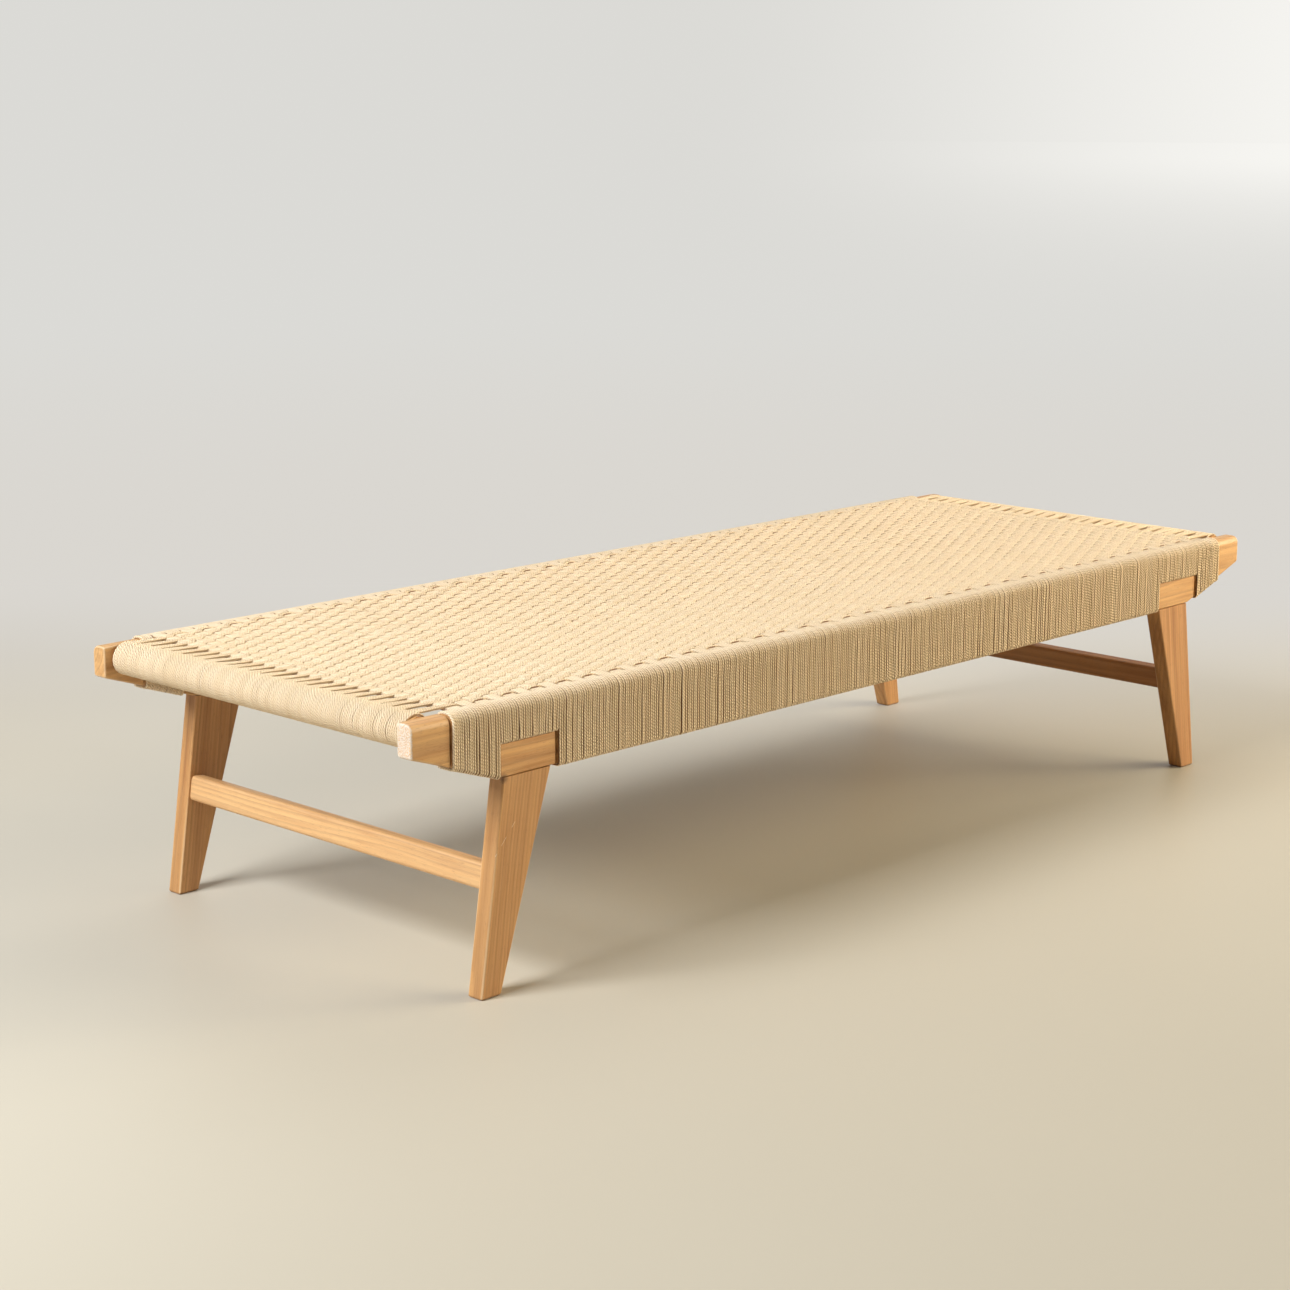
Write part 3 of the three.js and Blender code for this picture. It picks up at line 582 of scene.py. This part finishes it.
def grain_group():
    """Wood grain: growth rings about the heart of the log, with streaks, fibres and pores along it."""
    tree, given = new_group(
        "Wood grain",
        (("Place", "NodeSocketVector", None), ("Ring Spacing", "NodeSocketFloat", 0.004)),
        (("Rings", "NodeSocketFloat"), ("Streaks", "NodeSocketFloat"),
         ("Fibres", "NodeSocketFloat"), ("Pores", "NodeSocketFloat")))
    place = given["Place"]
    drift, streaks, fibres, pores = (
        noise(tree, vector_calc(tree, "MULTIPLY", place, (along, across, across)), 1.0, detail)
        for along, across, detail in GRAIN_SCALES)
    parts = xyz_of(tree, place)
    squares = calc(tree, "MULTIPLY_ADD", parts[1], parts[1], calc(tree, "MULTIPLY", parts[2], parts[2]))
    radius = calc(tree, "MULTIPLY_ADD", drift, RING_DRIFT, calc(tree, "SQRT", squares))
    rings = calc(tree, "DIVIDE", radius, given["Ring Spacing"])
    share = calc(tree, "FRACT", rings)
    feeds = {"W": calc(tree, "FLOOR", rings)}
    year = put(tree, "ShaderNodeTexWhiteNoise", feeds, noise_dimensions="1D").outputs[0]
    late = calc(tree, "MULTIPLY", eased(tree, share, 0.25, LATE_WOOD), eased(tree, share, 1.0, LATE_WOOD))
    strength = calc(tree, "MULTIPLY_ADD", year, 1 - PALEST_RING, PALEST_RING)
    feeds = {
        "Rings": calc(tree, "MULTIPLY", late, strength),
        "Streaks": eased(tree, streaks, 0.3, 0.7),
        "Fibres": eased(tree, fibres, 0.25, 0.75),
        "Pores": eased(tree, pores, 0.62, 0.72),
    }
    put(tree, "NodeGroupOutput", feeds)
    return tree


PLIES = 3
CREASE_REACH = (0.62, 0.05)  # from here down to here in a ply's height lies the crease beside it, which is darkened as painted shade


def lay_group():
    """The lay of a twisted cord, from the run along it and the way round it."""
    tree, given = new_group(
        "Cord lay",
        (("Run", "NodeSocketFloat", 0.0), ("Round", "NodeSocketVector", None),
         ("Lay Length", "NodeSocketFloat", 0.013)),
        (("Height", "NodeSocketFloat"), ("Crease", "NodeSocketFloat")))
    parts = xyz_of(tree, given["Round"])
    angle = calc(tree, "ARCTAN2", parts[1], parts[0])
    turns = calc(tree, "DIVIDE", given["Run"], given["Lay Length"])
    phase = calc(tree, "MULTIPLY", calc(tree, "MULTIPLY_ADD", turns, 2 * math.pi, angle), PLIES)
    cosine = calc(tree, "COSINE", phase)
    height = calc(tree, "SQRT", calc(tree, "MULTIPLY_ADD", cosine, 0.5, 0.5))
    feeds = {"Height": height, "Crease": eased(tree, height, *CREASE_REACH)}
    put(tree, "NodeGroupOutput", feeds)
    return tree


def finish_of(name):
    """A new material with its tree emptied but for its surface shader."""
    material = bpy.data.materials.new(name)
    material.use_nodes = True
    tree = material.node_tree
    tree.nodes.clear()
    shader = put(tree, "ShaderNodeBsdfPrincipled")
    put(tree, "ShaderNodeOutputMaterial", {"Surface": shader.outputs[0]})
    return material, tree, shader


def xyz_of(tree, place):
    """The three parts of a vector."""
    return put(tree, "ShaderNodeSeparateXYZ", {0: place}).outputs


def layered(tree, colour, layers):
    """Lays colours over a colour, each with its mask and the share it covers at most."""
    for mask, share, over in layers:
        colour = mixed(tree, calc(tree, "MULTIPLY", mask, share), colour, over)
    return colour


def attribute(tree, name, output):
    """One output of an attribute of the piece."""
    return put(tree, "ShaderNodeAttribute", attribute_name=name).outputs[output]


def use_group(tree, group, **feeds):
    """Places a shader group and gives its outputs."""
    made = put(tree, "ShaderNodeGroup", node_tree=group)
    for label, value in feeds.items():
        socket = made.inputs[label.replace("_", " ")]
        if isinstance(value, bpy.types.NodeSocket):
            tree.links.new(value, socket)
        else:
            socket.default_value = value
    return made.outputs


MOTTLING = mottling_group()
GRAIN = grain_group()
LAY = lay_group()


# The cord's colours and how strongly they show
CORD_PALE = (0.97, 0.80, 0.57, 1)
CORD_DEEP = (0.87, 0.67, 0.425, 1)
CORD_CLOUD = (0.88, 0.71, 0.47, 1)
CORD_GRAIN = (0.77, 0.575, 0.35, 1)
# Painted shade in the creases between the plies
CORD_CREASE_SHADE = (0.48, 0.285, 0.125, 1)
CORD_SHADE_AND_SOIL = (0.24, 0.095, 0.028, 1)
FLANK_REACH = (0.72, 0.96)  # from here to here on the way round a cord its flank gets painted shade, with some soil
FLANK_SHADE_AND_SOIL = 0.92
DEPTH_SHADE_AND_SOIL = 0.9
DEEPER_REACH = (0.1, 0.95)
CORD_RELIEF = 0.00085  # metres
PAPER_ROUGHNESS = 0.56
PAPER_GLOSS = 0.35


def paper_cord():
    """Natural twisted paper cord: three plies, with painted shade in the creases between them, and painted
    shade with some soil where it lies among others.
    """
    material, tree, shader = finish_of("natural_paper_cord")
    run = attribute(tree, "cord_run", "Fac")
    tone = attribute(tree, "cord_tone", "Fac")
    lay = use_group(tree, LAY, Run=run, Round=attribute(tree, "cord_round", "Vector"))
    place = put(tree, "ShaderNodeTexCoord").outputs["Object"]
    cloud = use_group(tree, MOTTLING, Place=place, Broad_Scale=9.0, Fine_Scale=420.0)
    along = put(tree, "ShaderNodeCombineXYZ", {0: run, 1: tone}).outputs[0]
    length_tone = calc(tree, "MULTIPLY", noise(tree, along, 9.0, 2.0), 0.6)
    deeper = eased(tree, calc(tree, "MULTIPLY_ADD", tone, 0.5, length_tone), *DEEPER_REACH)
    hollow = xyz_of(tree, attribute(tree, "cord_hollow", "Vector"))
    normal = put(tree, "ShaderNodeNewGeometry").outputs["Normal"]
    facing = xyz_of(tree, put(tree, "ShaderNodeVectorMath", {0: normal}, operation="ABSOLUTE").outputs[0])
    # Painted shade, with some soil: flanks turned towards a neighbour and parts lying deep among other cords
    # are darkened
    flank = calc(tree, "MULTIPLY_ADD", facing[0], hollow[0], calc(tree, "MULTIPLY", facing[1], hollow[1]))
    flank = calc(tree, "MULTIPLY", eased(tree, flank, *FLANK_REACH), FLANK_SHADE_AND_SOIL)
    soil_and_shade = calc(tree, "MAXIMUM", flank, calc(tree, "MULTIPLY", hollow[2], DEPTH_SHADE_AND_SOIL))
    colour = layered(tree, mixed(tree, deeper, CORD_PALE, CORD_DEEP), (
        (cloud["Broad"], 0.25, CORD_CLOUD),
        (cloud["Fine"], 0.32, CORD_GRAIN),
        (lay["Crease"], 0.62, CORD_CREASE_SHADE),
        (soil_and_shade, 1.0, CORD_SHADE_AND_SOIL),
    ))
    relief = calc(tree, "MULTIPLY_ADD", cloud["Fine"], 0.12, lay["Height"])
    bump = put(tree, "ShaderNodeBump", {"Height": relief, "Strength": 1.0, "Distance": CORD_RELIEF})
    rough = calc(tree, "MULTIPLY_ADD", cloud["Fine"], 0.12, PAPER_ROUGHNESS)
    tree.links.new(colour, shader.inputs["Base Color"])
    tree.links.new(bump.outputs[0], shader.inputs["Normal"])
    tree.links.new(rough, shader.inputs["Roughness"])
    shader.inputs["Specular IOR Level"].default_value = PAPER_GLOSS
    return material


# Marks of use on the front left leg, in metres: light scratches on its front, as (x, z); and a dark patch at
# its top, under the rail
SCRATCHES = (
    ((-0.7745, 0.2300), (-0.7815, 0.2215)),
    ((-0.7900, 0.2125), (-0.8000, 0.2010)),
    ((-0.8065, 0.1935), (-0.8105, 0.1865)),
)
SCRATCH_HALF_WIDTH = 0.0006
SCRATCHED_FACE = (-0.336, -0.337)  # y at which a scratch starts to show, and shows fully
DARK_PATCH_PLACE = (-0.794, -0.338, 0.290)
DARK_PATCH_REACH = (0.013, 0.007)  # from the middle: where it starts, and where it is full
FOOT_DARKENING_REACH = (0.0045, 0.0015)  # the same above the floor, for the darkening round the feet
TIP_REACH = (0.004, 0.001)  # the same from the tip of a rail, for its end with scuffs, painted paler as a highlight too
SCUFF_AND_HIGHLIGHT_SIDE = (0.0, -0.01)  # y at which the scuffs and highlight start, so that only the front rail has them

# The wood's colours, and how strongly its wear and marks show
WOOD_PALE = (0.73, 0.395, 0.142, 1)
WOOD_STREAK = (0.44, 0.192, 0.052, 1)
WOOD_CLOUD = (0.64, 0.375, 0.145, 1)
WOOD_RING = (0.30, 0.130, 0.038, 1)
WOOD_FIBRE = (0.70, 0.45, 0.21, 1)
WOOD_PORE = (0.24, 0.10, 0.03, 1)
WOOD_PALER = (0.84, 0.58, 0.33, 1)
WOOD_DARKER = (0.60, 0.44, 0.31, 1)
# Rounded edges: rubbed paler by use, and painted lighter as a highlight
WORN_EDGE_AND_HIGHLIGHT = (0.80, 0.57, 0.33, 1)
SCUFFED_END_AND_HIGHLIGHT = (0.74, 0.66, 0.565, 1)
SCRATCHED = (0.86, 0.70, 0.50, 1)
DARK_PATCH_COLOUR = (0.13, 0.055, 0.02, 1)
# The legs are darker within a few millimetres of the floor
DARKER_FOOT = (0.16, 0.075, 0.03, 1)
WEAR_AND_HIGHLIGHT_RANGE = (0.25, 0.8)
SCUFF_AND_HIGHLIGHT_RANGE = (0.05, 0.95)
SPECK_REACH = (0.44, 0.54)
DARK_PATCH_RAGGED = 0.008  # metres
WOOD_RELIEF = 0.0001  # metres
WOOD_ROUGHNESS = 0.40


def scratch(tree, spot, start, end):
    """1 along a line on the front of the bench's front left leg, 0 beside it."""
    along = Vector(end) - Vector(start)
    length = along.length
    along = along / length
    across = calc(tree, "SUBTRACT", spot[0], start[0])
    up = calc(tree, "SUBTRACT", spot[2], start[1])
    run = calc(tree, "MULTIPLY_ADD", across, along.x, calc(tree, "MULTIPLY", up, along.y))
    off = calc(tree, "MULTIPLY_ADD", across, -along.y, calc(tree, "MULTIPLY", up, along.x))
    past = calc(tree, "ABSOLUTE", calc(tree, "SUBTRACT", run, length / 2))
    near = eased(tree, calc(tree, "ABSOLUTE", off), SCRATCH_HALF_WIDTH, 0.0)
    within = eased(tree, past, length / 2, length / 2 - 4 * SCRATCH_HALF_WIDTH)
    front = eased(tree, spot[1], *SCRATCHED_FACE)
    return calc(tree, "MULTIPLY", calc(tree, "MULTIPLY", near, within), front)


def oiled_wood():
    """Light oiled wood, rubbed paler along its edges by use and painted lighter there as a highlight, with
    marks of use on the front rail and legs: scratches, scuffs on the front rail's left tip that are painted
    lighter as a highlight too, a dark patch on the front left leg, and darker feet.
    """
    material, tree, shader = finish_of("light_oiled_wood")
    place = attribute(tree, "grain_place", "Vector")
    on_bench = put(tree, "ShaderNodeTexCoord").outputs["Object"]
    spot = xyz_of(tree, on_bench)
    grain = use_group(tree, GRAIN, Place=place, Ring_Spacing=0.0052)
    cloud = use_group(tree, MOTTLING, Place=place, Broad_Scale=7.0, Fine_Scale=260.0)
    specks = noise(tree, place, 620.0, 3.0, 0.65)

    # The wood itself, and this piece's tone, which for the right stretcher holds painted shade
    colour = layered(tree, mixed(tree, grain["Streaks"], WOOD_PALE, WOOD_STREAK), (
        (cloud["Broad"], 0.40, WOOD_CLOUD),
        (grain["Rings"], 0.62, WOOD_RING),
        (grain["Fibres"], 0.30, WOOD_FIBRE),
        (grain["Pores"], 0.45, WOOD_PORE),
    ))
    tone = attribute(tree, "wood_tone_and_shade", "Fac")
    colour = mixed(tree, tone, colour, WOOD_PALER)
    colour = mixed(tree, calc(tree, "MULTIPLY", tone, -1.0), colour, WOOD_DARKER, "MULTIPLY")

    # Paler edges, marks, and painted highlights
    rubbed_and_highlit = eased(tree, cloud["Broad"], 0.1, 0.9, *WEAR_AND_HIGHLIGHT_RANGE)
    left = calc(tree, "MULTIPLY", spot[0], -1.0)
    # The front rail's left tip: scuffs, and a painted highlight where the light falls on its end
    tip_scuff_and_highlight = eased(tree, left, *(RAIL_END * MM - reach for reach in TIP_REACH))
    tip_scuff_and_highlight = calc(tree, "MULTIPLY", tip_scuff_and_highlight, eased(tree, spot[1], *SCUFF_AND_HIGHLIGHT_SIDE))
    scuffed_and_highlit = calc(tree, "MULTIPLY", tip_scuff_and_highlight, eased(tree, specks, *SPECK_REACH, *SCUFF_AND_HIGHLIGHT_RANGE))
    scratched = scratch(tree, spot, *SCRATCHES[0])
    for ends in SCRATCHES[1:]:
        scratched = calc(tree, "MAXIMUM", scratched, scratch(tree, spot, *ends))
    # A darker patch at the top of the front left leg, under the rail's cord
    off = vector_calc(tree, "SUBTRACT", on_bench, DARK_PATCH_PLACE)
    off = put(tree, "ShaderNodeVectorMath", {0: off}, operation="LENGTH").outputs["Value"]
    off = calc(tree, "MULTIPLY_ADD", specks, DARK_PATCH_RAGGED, off)
    colour = layered(tree, colour, (
        (attribute(tree, "edge_wear_and_highlight", "Fac"), rubbed_and_highlit, WORN_EDGE_AND_HIGHLIGHT),
        (scuffed_and_highlit, 1.0, SCUFFED_END_AND_HIGHLIGHT),
        (scratched, 0.75, SCRATCHED),
        (eased(tree, off, *DARK_PATCH_REACH), 0.72, DARK_PATCH_COLOUR),
        (eased(tree, spot[2], *FOOT_DARKENING_REACH), 0.6, DARKER_FOOT),
    ))

    relief = calc(tree, "MULTIPLY_ADD", grain["Fibres"], 0.5, calc(tree, "MULTIPLY", grain["Pores"], -1.0))
    relief = calc(tree, "MULTIPLY_ADD", calc(tree, "MULTIPLY", tip_scuff_and_highlight, specks), -6.0, relief)
    bump = put(tree, "ShaderNodeBump", {"Height": relief, "Strength": 0.6, "Distance": WOOD_RELIEF})
    rough = calc(tree, "MULTIPLY_ADD", grain["Streaks"], 0.12, WOOD_ROUGHNESS)
    rough = calc(tree, "MULTIPLY_ADD", scuffed_and_highlit, 0.3, rough)
    tree.links.new(colour, shader.inputs["Base Color"])
    tree.links.new(bump.outputs[0], shader.inputs["Normal"])
    tree.links.new(rough, shader.inputs["Roughness"])
    return material


# How much paler (above 0) or darker (below 0) each piece of wood is than the end rails: its own tone, and for
# the right stretcher painted shade as well
WOOD_TONES_AND_SHADE = {
    "leg_front_left": -0.42,
    "leg_front_right": -0.58,
    "leg_back_left": -0.5,
    "leg_back_right": -0.42,
    "stretcher_left": 0.16,
    # Darker mostly as painted shade: this stretcher lies in the bench's shadow
    "stretcher_right": -0.8,
    "side_rail_front": -0.03,
    "side_rail_back": -0.03,
}
DOUBLES_REACH = 0.005  # points nearer than this are one
FLAT_ANGLE = 0.5  # degrees, up to which facets are joined
SHARP_ANGLE = 50  # degrees, from which an edge stays sharp
EDGE_FACET = 2.6  # a facet narrower than this belongs to a rounded edge
# Where the heart of a piece's log lies, in metres from the middle of the piece
HEART_ALONG = (0, 9)
HEART_BESIDE = (0.05, 0.12)
HEART_ABOVE = (-0.08, 0.08)


def wooden_piece(node, along, material):
    """Stands for a wooden solid: its own shape with soft edges, and with what its grain, its paler rubbed
    edges with their painted highlight, and its tone need.
    """
    mesh = bpy.data.meshes.new(node + "_wood")
    shape = bmesh.new()
    shape.from_mesh(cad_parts[node].data)
    bmesh.ops.remove_doubles(shape, verts=shape.verts, dist=DOUBLES_REACH * MM)
    flat = math.radians(FLAT_ANGLE)
    bmesh.ops.dissolve_limit(shape, angle_limit=flat, verts=shape.verts, edges=shape.edges)
    for face in shape.faces:
        face.smooth = True
    for edge in shape.edges:
        edge.smooth = edge.calc_face_angle(0) < math.radians(SHARP_ANGLE)

    def width(face):
        return face.calc_area() / max(e.calc_length() for e in face.edges)

    # Points on rounded edges, which are rubbed paler and painted lighter as a highlight
    rounded_edge_points = np.array([all(width(f) < EDGE_FACET * MM for f in v.link_faces) for v in shape.verts])
    shape.to_mesh(mesh)
    shape.free()
    places = np.array([v.co for v in mesh.vertices])
    middle = (places.min(0) + places.max(0)) / 2
    axis = Vector(along).normalized()
    side = axis.cross(Vector((0, 0, 1) if abs(axis.z) < 0.5 else (0, 1, 0))).normalized()
    turn = np.array([axis, side, axis.cross(side)])
    heart = np.array([rng.uniform(*reach) for reach in (HEART_ALONG, HEART_BESIDE, HEART_ABOVE)])
    mark(mesh, "grain_place", (places - middle) @ turn.T + heart)
    mark(mesh, "edge_wear_and_highlight", rounded_edge_points)
    mark(mesh, "wood_tone_and_shade", np.full(len(places), WOOD_TONES_AND_SHADE.get(node, 0.0)))
    mesh.materials.append(material)
    piece = bpy.data.objects.new(node + "_wood", mesh)
    bpy.context.scene.collection.objects.link(piece)
    level = piece.modifiers.new("Flat faces stay flat", "WEIGHTED_NORMAL")
    level.keep_sharp = True
    level.weight = 100
    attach(piece, "root")
    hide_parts(node)
    return piece


# The wooden pieces
wood = oiled_wood()
LEG_SPLAY = 43.2  # from the side rail's underside to the floor
for rail in RAILS:
    wooden_piece(f"side_rail_{rail}", (1, 0, 0), wood)
for end, sign in ENDS.items():
    wooden_piece(f"end_rail_{end}", (0, 1, 0), wood)
    wooden_piece(f"stretcher_{end}", (0, 1, 0), wood)
    for rail in RAILS:
        wooden_piece(f"leg_{rail}_{end}", (-sign * LEG_SPLAY / RAIL_BOTTOM, 0, 1), wood)

# The cord
laying = cord_tree(paper_cord())
winding_nodes = {rail: [f"cord_{rail}_{stretch}" for stretch in STRETCHES] for rail in RAILS}


def lay_in_pieces(name, strands, count, sides, first_seed, *nodes):
    """Shares strands out among so many pieces of cord."""
    for number, part in enumerate(np.array_split(np.arange(len(strands)), count), 1):
        laid_cord(f"{name}_{number}", [strands[i] for i in part], laying, sides, first_seed + number, *nodes)


crossing = []
for row, places in enumerate(cross_places):
    row_sway = wander((PAIR_COUNT - 1) * CROSS_STEPS + 2, *ROW_SWAY)
    for x in places:
        route, girth, hollow = crossing_cord(row, x, row_sway)
        girth = girth * rng.normal(1, GIRTH_CHANCE)
        crossing.append({"points": route, "girth": girth, "hollow": hollow, "flanks": face_flank(route)})
lay_in_pieces("cords_across", crossing, CROSSING_PIECES, CORD_SIDES, 0,
              "woven_seat", *winding_nodes["front"], *winding_nodes["back"])

lengthwise = []
group_shifts = rng.normal(0, GROUP_DRIFT, GROUP_COUNT)
for pair in range(PAIR_COUNT):
    pair_sway = wander((ROW_COUNT - 1) * FLOAT_STEPS + 2, *PAIR_SWAY)
    for partner in (0, 1):
        route, girth, hollow, flanks = lengthwise_cord(pair, partner, group_shifts[pair // 2], pair_sway)
        girth = girth * rng.normal(1, GIRTH_CHANCE)
        lengthwise.append({"points": route, "girth": girth, "hollow": hollow, "flanks": flanks})
lay_in_pieces("cords_along", lengthwise, LENGTHWISE_PIECES, FLOAT_SIDES, 10,
              "woven_seat", "cord_end_left", "cord_end_right")

for rail, side in RAILS.items():
    turns = []
    for x in stay_places:
        if abs(x) > WINDING_END - CORD_DIAMETER:
            route = staying_turn(side, x, OUTERMOST_PROUD)
            turns.append({"points": route, "girth": OUTERMOST_GIRTH, "flanks": (0, 0)})
        else:
            route = staying_turn(side, x)
            girth = WINDING_GIRTH * rng.normal(1, GIRTH_CHANCE)
            turns.append({"points": route, "girth": girth, "flanks": face_flank(route)})
    laid_cord(f"turns_on_{rail}_rail", turns, laying, CORD_SIDES, 20 + side, *winding_nodes[rail])

for end, sign in ENDS.items():
    turns = []
    for group in range(GROUP_COUNT):
        middle = (group - (GROUP_COUNT - 1) / 2) * GROUP_PITCH
        for offset in STAYING_TURNS:
            route = pole_staying_turn(sign, middle + offset * TURN_PITCH)
            turns.append({"points": route, "girth": WINDING_GIRTH, "flanks": (0, WOUND_FLANK)})
    laid_cord(f"turns_on_{end}_pole", turns, laying, FLOAT_SIDES, 30 + sign, f"cord_end_{end}")


# The floor and the light
FLOOR_REACH = 40
FLOOR_SIDES = 96
FLOOR_PALE = (0.60, 0.545, 0.445, 1)
FLOOR_PAINTED_SHADE = (0.445, 0.395, 0.305, 1)
FLOOR_CLOUD = (0.50, 0.445, 0.345, 1)
NEAR_COLOUR = (0.700, 0.675, 0.632, 1)
FAR_COLOUR = (0.710, 0.703, 0.674, 1)
BRIGHT_COLOUR = (0.94, 0.93, 0.895, 1)
# Level directions across the floor: away behind the bench, as the photograph looks, and to the right of that
BACK_WAY = (0.72, 0.694)
RIGHT_WAY = (0.694, -0.72)
# Painted light on the floor: paler to the left, on the key lamp's side, and further back; darker to the right
# and towards the front
FLOOR_SHADE_TO_SIDE = 0.12
FLOOR_SHADE_TO_BACK = -0.07
FLOOR_ROUGHNESS = 0.5
BLEND_START = 1.7  # metres from the bench's middle, where the floor begins to turn into the backdrop


def run_along(tree, place, way):
    """How far a place lies in a level direction."""
    parts = xyz_of(tree, place)
    return calc(tree, "MULTIPLY_ADD", parts[0], way[0], calc(tree, "MULTIPLY", parts[1], way[1]))


def far_tone(tree, place, distance):
    """The backdrop's colour: grey, warmer close by, and with painted light near white far off towards +X and
    -Y.
    """
    colour = mixed(tree, eased(tree, distance, 2.0, 9.0), NEAR_COLOUR, FAR_COLOUR)
    right = eased(tree, run_along(tree, place, RIGHT_WAY), 0.0, 0.3)
    lit = calc(tree, "MULTIPLY", right, eased(tree, distance, 6.0, 34.0))
    return mixed(tree, lit, colour, BRIGHT_COLOUR)


def seen_share(tree):
    """1 for the camera and for what is mirrored or seen through, 0 for the light that falls on the bench."""
    path = put(tree, "ShaderNodeLightPath").outputs
    share = calc(tree, "MAXIMUM", path["Is Camera Ray"], path["Is Glossy Ray"])
    return calc(tree, "MAXIMUM", share, path["Is Transmission Ray"])


def floor_finish():
    """A pale floor with painted light, paler to the left and further back and darker to the right, that turns
    into the backdrop's colour further off.
    """
    material, tree, shader = finish_of("pale_floor")
    place = put(tree, "ShaderNodeTexCoord").outputs["Object"]
    cloud = use_group(tree, MOTTLING, Place=place, Broad_Scale=0.9, Fine_Scale=5.0)
    shader.inputs["Roughness"].default_value = FLOOR_ROUGHNESS
    distance = put(tree, "ShaderNodeVectorMath", {0: place}, operation="LENGTH").outputs["Value"]
    back = run_along(tree, place, BACK_WAY)
    right = run_along(tree, place, RIGHT_WAY)
    # Painted light: the floor darkens to the right and towards the front
    deeper = calc(tree, "MULTIPLY_ADD", right, FLOOR_SHADE_TO_SIDE, calc(tree, "MULTIPLY", back, FLOOR_SHADE_TO_BACK))
    colour = mixed(tree, eased(tree, deeper, -0.15, 0.2), FLOOR_PALE, FLOOR_PAINTED_SHADE)
    colour = layered(tree, colour, ((cloud["Broad"], 0.3, FLOOR_CLOUD),))
    tree.links.new(colour, shader.inputs["Base Color"])
    past = calc(tree, "SUBTRACT", distance, BLEND_START)
    far = eased(tree, calc(tree, "MAXIMUM", back, past), 0.2, 2.0)
    direction = put(tree, "ShaderNodeVectorMath", {0: place}, operation="NORMALIZE").outputs[0]
    glow = put(tree, "ShaderNodeEmission", {"Color": far_tone(tree, direction, distance), "Strength": 1.0})
    share = calc(tree, "MULTIPLY", far, seen_share(tree))
    both = put(tree, "ShaderNodeMixShader", {0: share, 1: shader.outputs[0], 2: glow.outputs[0]})
    end = next(n for n in tree.nodes if n.bl_idname == "ShaderNodeOutputMaterial")
    tree.links.new(both.outputs[0], end.inputs["Surface"])
    return material


bpy.ops.mesh.primitive_circle_add(vertices=FLOOR_SIDES, radius=FLOOR_REACH, fill_type="NGON")
floor = bpy.context.object
floor.name = "floor"
floor.data.materials.append(floor_finish())

world = bpy.data.worlds.new("Studio")
bpy.context.scene.world = world
world.use_nodes = True
sky = world.node_tree
sky.nodes.clear()
direction = put(sky, "ShaderNodeTexCoord").outputs["Generated"]
seen = put(sky, "ShaderNodeBackground", {"Color": far_tone(sky, direction, FLOOR_REACH), "Strength": 1.0})
AMBIENT_COLOUR = (1.0, 0.96, 0.9, 1)
AMBIENT = 0.012
ambient = put(sky, "ShaderNodeBackground", {"Color": AMBIENT_COLOUR, "Strength": AMBIENT})
both = put(sky, "ShaderNodeMixShader", {0: seen_share(sky), 1: ambient.outputs[0], 2: seen.outputs[0]})
put(sky, "ShaderNodeOutputWorld", {"Surface": both.outputs[0]})


def softbox(name, place, aim, width, height, power, colour):
    """A rectangular lamp that faces a point."""
    lamp = bpy.data.lights.new(name, "AREA")
    lamp.shape = "RECTANGLE"
    lamp.size, lamp.size_y = width, height
    lamp.energy = power
    lamp.color = colour
    held = bpy.data.objects.new(name, lamp)
    bpy.context.scene.collection.objects.link(held)
    held.location = place
    held.rotation_euler = (Vector(aim) - Vector(place)).to_track_quat("-Z", "Y").to_euler()


# Each lamp's name, place, aim, width, height, power and colour
BENCH_MIDDLE = (0.0, 0.0, 0.3)
FAR_END = (0.9, 0.2, 0.3)
LAMPS = (
    ("key", (-4.5, 0.6, 3.4), BENCH_MIDDLE, 2.4, 2.4, 405, (0.885, 0.935, 1.0)),
    ("right", (3.8, -2.4, 1.9), BENCH_MIDDLE, 2.4, 2.4, 126, (1.0, 0.90, 0.69)),
    ("front", (2.8, -3.6, 2.0), BENCH_MIDDLE, 3.0, 2.4, 152, (1.0, 0.89, 0.65)),
    ("top", (1.7, 0.9, 3.4), FAR_END, 2.6, 2.6, 40, (1.0, 0.96, 0.92)),
)
for lamp in LAMPS:
    softbox(*lamp)

# The camera, as the photograph was taken: angles in radians, focal length and frame in the picture's pixels
CAMERA_PLACE = (-3043.1, -2754.8, 1182.3)
CAMERA_HEADING = 0.8042
CAMERA_PITCH = -0.2141
CAMERA_ROLL = 0.0014
FOCAL_LENGTH = 2662.4
FRAME_WIDTH = 1290
SENSOR_WIDTH = 36.0
SIGHT = 200

forward = Vector((math.sin(CAMERA_HEADING) * math.cos(CAMERA_PITCH),
                  math.cos(CAMERA_HEADING) * math.cos(CAMERA_PITCH), math.sin(CAMERA_PITCH)))
right = forward.cross(Vector((0, 0, 1))).normalized()
up = right.cross(forward)
rolled_right = right * math.cos(CAMERA_ROLL) + up * math.sin(CAMERA_ROLL)
rolled_up = up * math.cos(CAMERA_ROLL) - right * math.sin(CAMERA_ROLL)
view = bpy.data.cameras.new("Camera")
view.sensor_width = SENSOR_WIDTH
view.lens = FOCAL_LENGTH / FRAME_WIDTH * SENSOR_WIDTH
view.clip_end = SIGHT
camera = bpy.data.objects.new("Camera", view)
bpy.context.scene.collection.objects.link(camera)
stand = Matrix((rolled_right, rolled_up, -forward)).transposed().to_4x4()
stand.translation = Vector(CAMERA_PLACE) * MM
camera.matrix_world = stand
bpy.context.scene.camera = camera

bpy.context.scene.view_settings.view_transform = "Standard"
